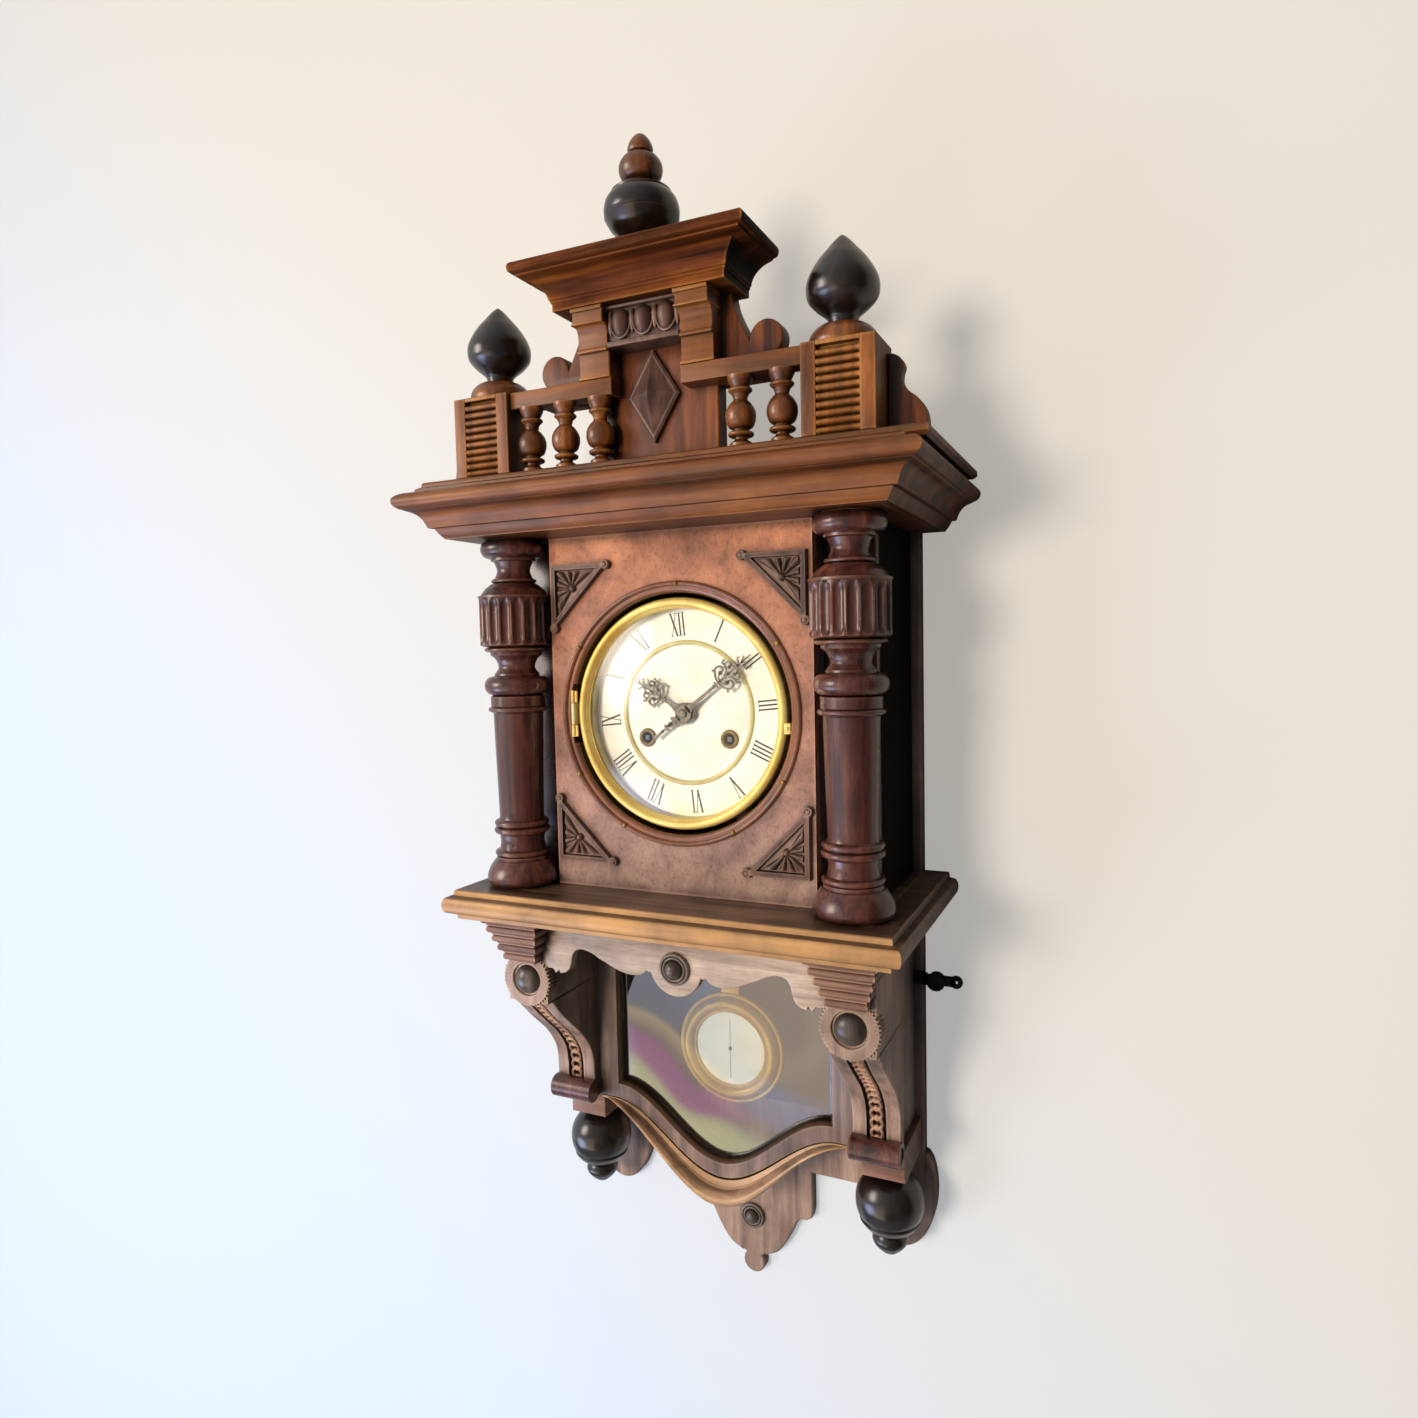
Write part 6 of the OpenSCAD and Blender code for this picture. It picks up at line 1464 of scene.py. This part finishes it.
# %% Wall and floor
def pale_wall(name, cool, warm, glow):
    """Matt paint with painted light: bluish low on the left and warmer to the right, and a glow seen
    only by the camera that lifts the clock's shadow. It is seen from the front only, so that the
    clock's back stays in view from behind."""
    tree, shader, material = surface(name, warm, 0.85)
    shader.inputs["Specular IOR Level"].default_value = 0.1
    where = put(tree, "ShaderNodeTexCoord")
    apart = put(tree, "ShaderNodeSeparateXYZ", {"Vector": where.outputs["Object"]})
    across = put(tree, "ShaderNodeMath", {0: apart.outputs["X"], 1: apart.outputs["Z"]}, operation="ADD")
    # Painted light: the colour runs from bluish at the lower left to warmer on the right, as the cool glow
    # falls.
    share = put(tree, "ShaderNodeMapRange", {"Value": across.outputs[0]}, From_Min=-1.3, From_Max=0.0)
    mixed = put(tree, "ShaderNodeMix", data_type="RGBA")
    mixed.inputs[6].default_value, mixed.inputs[7].default_value = linear(cool), linear(warm)
    tree.links.new(share.outputs["Result"], mixed.inputs[0])
    dimmed = put(tree, "ShaderNodeMix", {6: mixed.outputs[2]}, data_type="RGBA", blend_type="MULTIPLY")
    dimmed.inputs[0].default_value = 1.0
    dimmed.inputs[7].default_value = (0.7, 0.7, 0.7, 1.0)
    tree.links.new(dimmed.outputs[2], shader.inputs["Base Color"])
    # Painted fill light: a glow that only the camera sees lifts the clock's shadow on the wall.
    eye = put(tree, "ShaderNodeLightPath")
    painted_wall_fill = put(tree, "ShaderNodeMath", {0: eye.outputs["Is Camera Ray"]}, operation="MULTIPLY")
    painted_wall_fill.inputs[1].default_value = glow
    tree.links.new(mixed.outputs[2], shader.inputs["Emission Color"])
    tree.links.new(painted_wall_fill.outputs[0], shader.inputs["Emission Strength"])
    side = put(tree, "ShaderNodeNewGeometry")
    gone = put(tree, "ShaderNodeBsdfTransparent")
    mix = put(tree, "ShaderNodeMixShader", {0: side.outputs["Backfacing"], 1: shader.outputs[0],
                                            2: gone.outputs[0]})
    tree.links.new(mix.outputs[0], tree.nodes["Material Output"].inputs["Surface"])
    return material


def sheet(name, corners, finish):
    """One flat face of the room, kept apart from the clock."""
    mesh = bpy.data.meshes.new(name)
    mesh.from_pydata(corners, [], [list(range(len(corners)))])
    mesh.materials.append(finish)
    obj = bpy.data.objects.new(name, mesh)
    bpy.context.scene.collection.objects.link(obj)
    return obj


wall_paint = pale_wall("matt_wall_paint", "#b3bfd0", "#bcb8b1", 0.76)
sheet("wall", [[-4, 0.0006, -2.4], [4, 0.0006, -2.4], [4, 0.0006, 2.6], [-4, 0.0006, 2.6]], wall_paint)
sheet("floor", [[-4, 0.0006, -2.4], [-4, -5, -2.4], [4, -5, -2.4], [4, 0.0006, -2.4]], wall_paint)
print("wall and floor ready")

# %% [markdown]
# ## Light
# One window lights the clock from the front and left, and a weaker bluish glow fills in from low
# on the left, so the wood's right-hand faces fall dark. A sun lamp would cut hard shadows;
# square lights of 0.6 and 0.7 m give soft ones.

# %% Lights
def facing(place, aim):
    """The matrix that stands a thing at a place with its -z axis towards another: x stays level and
    y is its upright."""
    back = np.array(place, float) - np.array(aim, float)
    back /= np.linalg.norm(back)
    right = np.cross([0, 0, 1.0], back)
    right /= np.linalg.norm(right)
    up = np.cross(back, right)
    return Matrix([[right[i], up[i], back[i], place[i]] for i in range(3)] + [[0, 0, 0, 1]])


def panel_light(name, place, aim, size, power, tint="#ffffff"):
    """A square light at a place, facing another place."""
    data = bpy.data.lights.new(name, "AREA")
    data.size, data.energy, data.color = size, power, linear(tint)[:3]
    light = bpy.data.objects.new(name, data)
    bpy.context.scene.collection.objects.link(light)
    light.matrix_world = facing(place, aim)
    return light


window = panel_light("window", (-0.62, -2.6, 0.05), (0, 0, -0.15), 0.6, 74, "#fff1df")
glow = panel_light("glow", (-1.5, -1.7, -1.15), (0, 0, -0.2), 0.7, 22, "#e3ebff")
window.visible_glossy = glow.visible_glossy = False

# %% [markdown]
# ## Highlights on the polish
# Polished wood mirrors the bright parts of a room. The lamps could be left visible in mirrors, but
# they would show as hard squares. Cards with faded rims, seen by mirror rays alone, give broad
# soft highlights and light nothing else.

# %% Highlight cards
def rectangle(wide, tall):
    """Four corners of a level sheet round its middle."""
    return [[sx * wide / 2, sy * tall / 2, 0] for sx, sy in ((-1, -1), (1, -1), (1, 1), (-1, 1))]


def shine_card(name, place, aim, wide, tall, colour, strength):
    """A bright sheet that only shiny surfaces see: full within 0.55 of its half size, then fading
    to its rim."""
    mesh = bpy.data.meshes.new(name)
    mesh.from_pydata(rectangle(wide, tall), [], [[0, 1, 2, 3]])
    material = bpy.data.materials.new(name)
    material.use_nodes = True
    tree = material.node_tree
    tree.nodes.clear()
    where = put(tree, "ShaderNodeTexCoord")
    shape = put(tree, "ShaderNodeMapping", {"Vector": where.outputs["Object"]},
                Scale=(2 / wide, 2 / tall, 1))
    ball = put(tree, "ShaderNodeTexGradient", {"Vector": shape.outputs["Vector"]},
               gradient_type="SPHERICAL")
    fade = put(tree, "ShaderNodeMapRange", {"Value": ball.outputs["Fac"]}, From_Min=0.0, From_Max=0.45)
    light = put(tree, "ShaderNodeEmission", Color=linear(colour), Strength=strength)
    clear = put(tree, "ShaderNodeBsdfTransparent")
    mix = put(tree, "ShaderNodeMixShader", {0: fade.outputs["Result"], 1: clear.outputs[0],
                                            2: light.outputs[0]})
    put(tree, "ShaderNodeOutputMaterial", {"Surface": mix.outputs[0]})
    mesh.materials.append(material)
    return only_shiny(name, mesh, place, aim)


def only_shiny(name, mesh, place, aim):
    """Stands a sheet at a place, turns it to face another place, and hides it from all but mirror rays."""
    obj = bpy.data.objects.new(name, mesh)
    bpy.context.scene.collection.objects.link(obj)
    obj.matrix_world = facing(place, 2 * np.array(place, float) - np.array(aim, float))
    obj.visible_camera = obj.visible_diffuse = obj.visible_shadow = obj.visible_transmission = False
    return obj


shine_card("window_shine", (-1.75, -1.7, 0.35), (0, 0, -0.1), 1.1, 1.5, "#fff3e6", 9.0)
shine_card("low_shine", (-1.6, -1.3, -1.35), (0, 0, -0.4), 1.5, 1.1, "#c9d6ff", 6.0)

# %% [markdown]
# ## What the lower pane mirrors
# The flat pane mirrors the dim room before it. A picture could be put there, but broad soft
# colours are enough, so a sheet with two colour ramps bent by noise stands in for the room.

# %% What the lower pane mirrors
def reflected_room():
    """What the pane mirrors: an abstract room, olive at its foot, with a mauve band on one side and grey
    and brown above. Two ramps up the sheet are mixed across it, all bent by noise."""
    mesh = bpy.data.meshes.new("reflected_room")
    mesh.from_pydata(rectangle(1.9, 1.9), [], [[0, 1, 2, 3]])
    material = bpy.data.materials.new("reflected_room")
    material.use_nodes = True
    tree = material.node_tree
    tree.nodes.clear()
    where = put(tree, "ShaderNodeTexCoord")
    blur = put(tree, "ShaderNodeTexNoise", {"Vector": where.outputs["Object"]}, Scale=1.6, Detail=1.5,
               Distortion=0.6)
    apart = put(tree, "ShaderNodeSeparateXYZ", {"Vector": where.outputs["Object"]})
    bend = put(tree, "ShaderNodeMapRange", {"Value": blur.outputs["Fac"]}, To_Min=-0.16, To_Max=0.16)
    lean = put(tree, "ShaderNodeMath", {0: apart.outputs["X"]}, operation="MULTIPLY")
    lean.inputs[1].default_value = -0.35
    tilt = put(tree, "ShaderNodeMath", {0: apart.outputs["Y"], 1: lean.outputs[0]}, operation="ADD")
    wavy = put(tree, "ShaderNodeMath", {0: tilt.outputs[0], 1: bend.outputs["Result"]}, operation="ADD")
    height = put(tree, "ShaderNodeMapRange", {"Value": wavy.outputs[0]}, From_Min=-0.42, From_Max=0.42)
    left = put(tree, "ShaderNodeValToRGB", {"Fac": height.outputs["Result"]},
               ramp=[(0.08, "#b5b092"), (0.17, "#897c76"), (0.26, "#838191"), (0.36, "#8b8b98"),
                     (0.45, "#94867a")])
    right = put(tree, "ShaderNodeValToRGB", {"Fac": height.outputs["Result"]},
                ramp=[(0.1, "#b8b38e"), (0.13, "#aea589"), (0.16, "#9c7487"), (0.24, "#966f82"),
                     (0.27, "#84766f"), (0.34, "#a5947d"), (0.37, "#77767a"), (0.6, "#767986")])
    sideways = put(tree, "ShaderNodeMath", {0: apart.outputs["X"], 1: bend.outputs["Result"]},
                   operation="ADD")
    share = put(tree, "ShaderNodeMapRange", {"Value": sideways.outputs[0]}, From_Min=-0.12, From_Max=0.06)
    colour = put(tree, "ShaderNodeMix", data_type="RGBA")
    tree.links.new(share.outputs["Result"], colour.inputs[0])
    tree.links.new(left.outputs["Color"], colour.inputs[6])
    tree.links.new(right.outputs["Color"], colour.inputs[7])
    light = put(tree, "ShaderNodeEmission", {"Color": colour.outputs[2]}, Strength=4.4)
    put(tree, "ShaderNodeOutputMaterial", {"Surface": light.outputs[0]})
    mesh.materials.append(material)
    return only_shiny("reflected_room", mesh, (-1.02, -2.3, -1.46), (-1.02, -1.0, -1.46))


reflected_room()

# %% [markdown]
# ## Air
# A room also sends weak light from all round. A picture of a sky could do that, but a plain pale
# background is enough: strong on the left, where the window is, and weak on the right.

# %% World
world = bpy.data.worlds.new("air")
bpy.context.scene.world = world
world.use_nodes = True
air = world.node_tree
ray = put(air, "ShaderNodeTexCoord")
split = put(air, "ShaderNodeSeparateXYZ", {"Vector": ray.outputs["Generated"]})
side_share = put(air, "ShaderNodeMapRange", {"Value": split.outputs["X"]}, From_Min=-0.9, From_Max=0.9,
                 To_Min=0.75, To_Max=0.06)
air.links.new(side_share.outputs["Result"], air.nodes["Background"].inputs["Strength"])
air.nodes["Background"].inputs["Color"].default_value = linear("#eef1f4")
bpy.context.scene.view_settings.view_transform = "Standard"
print("lit from the left")
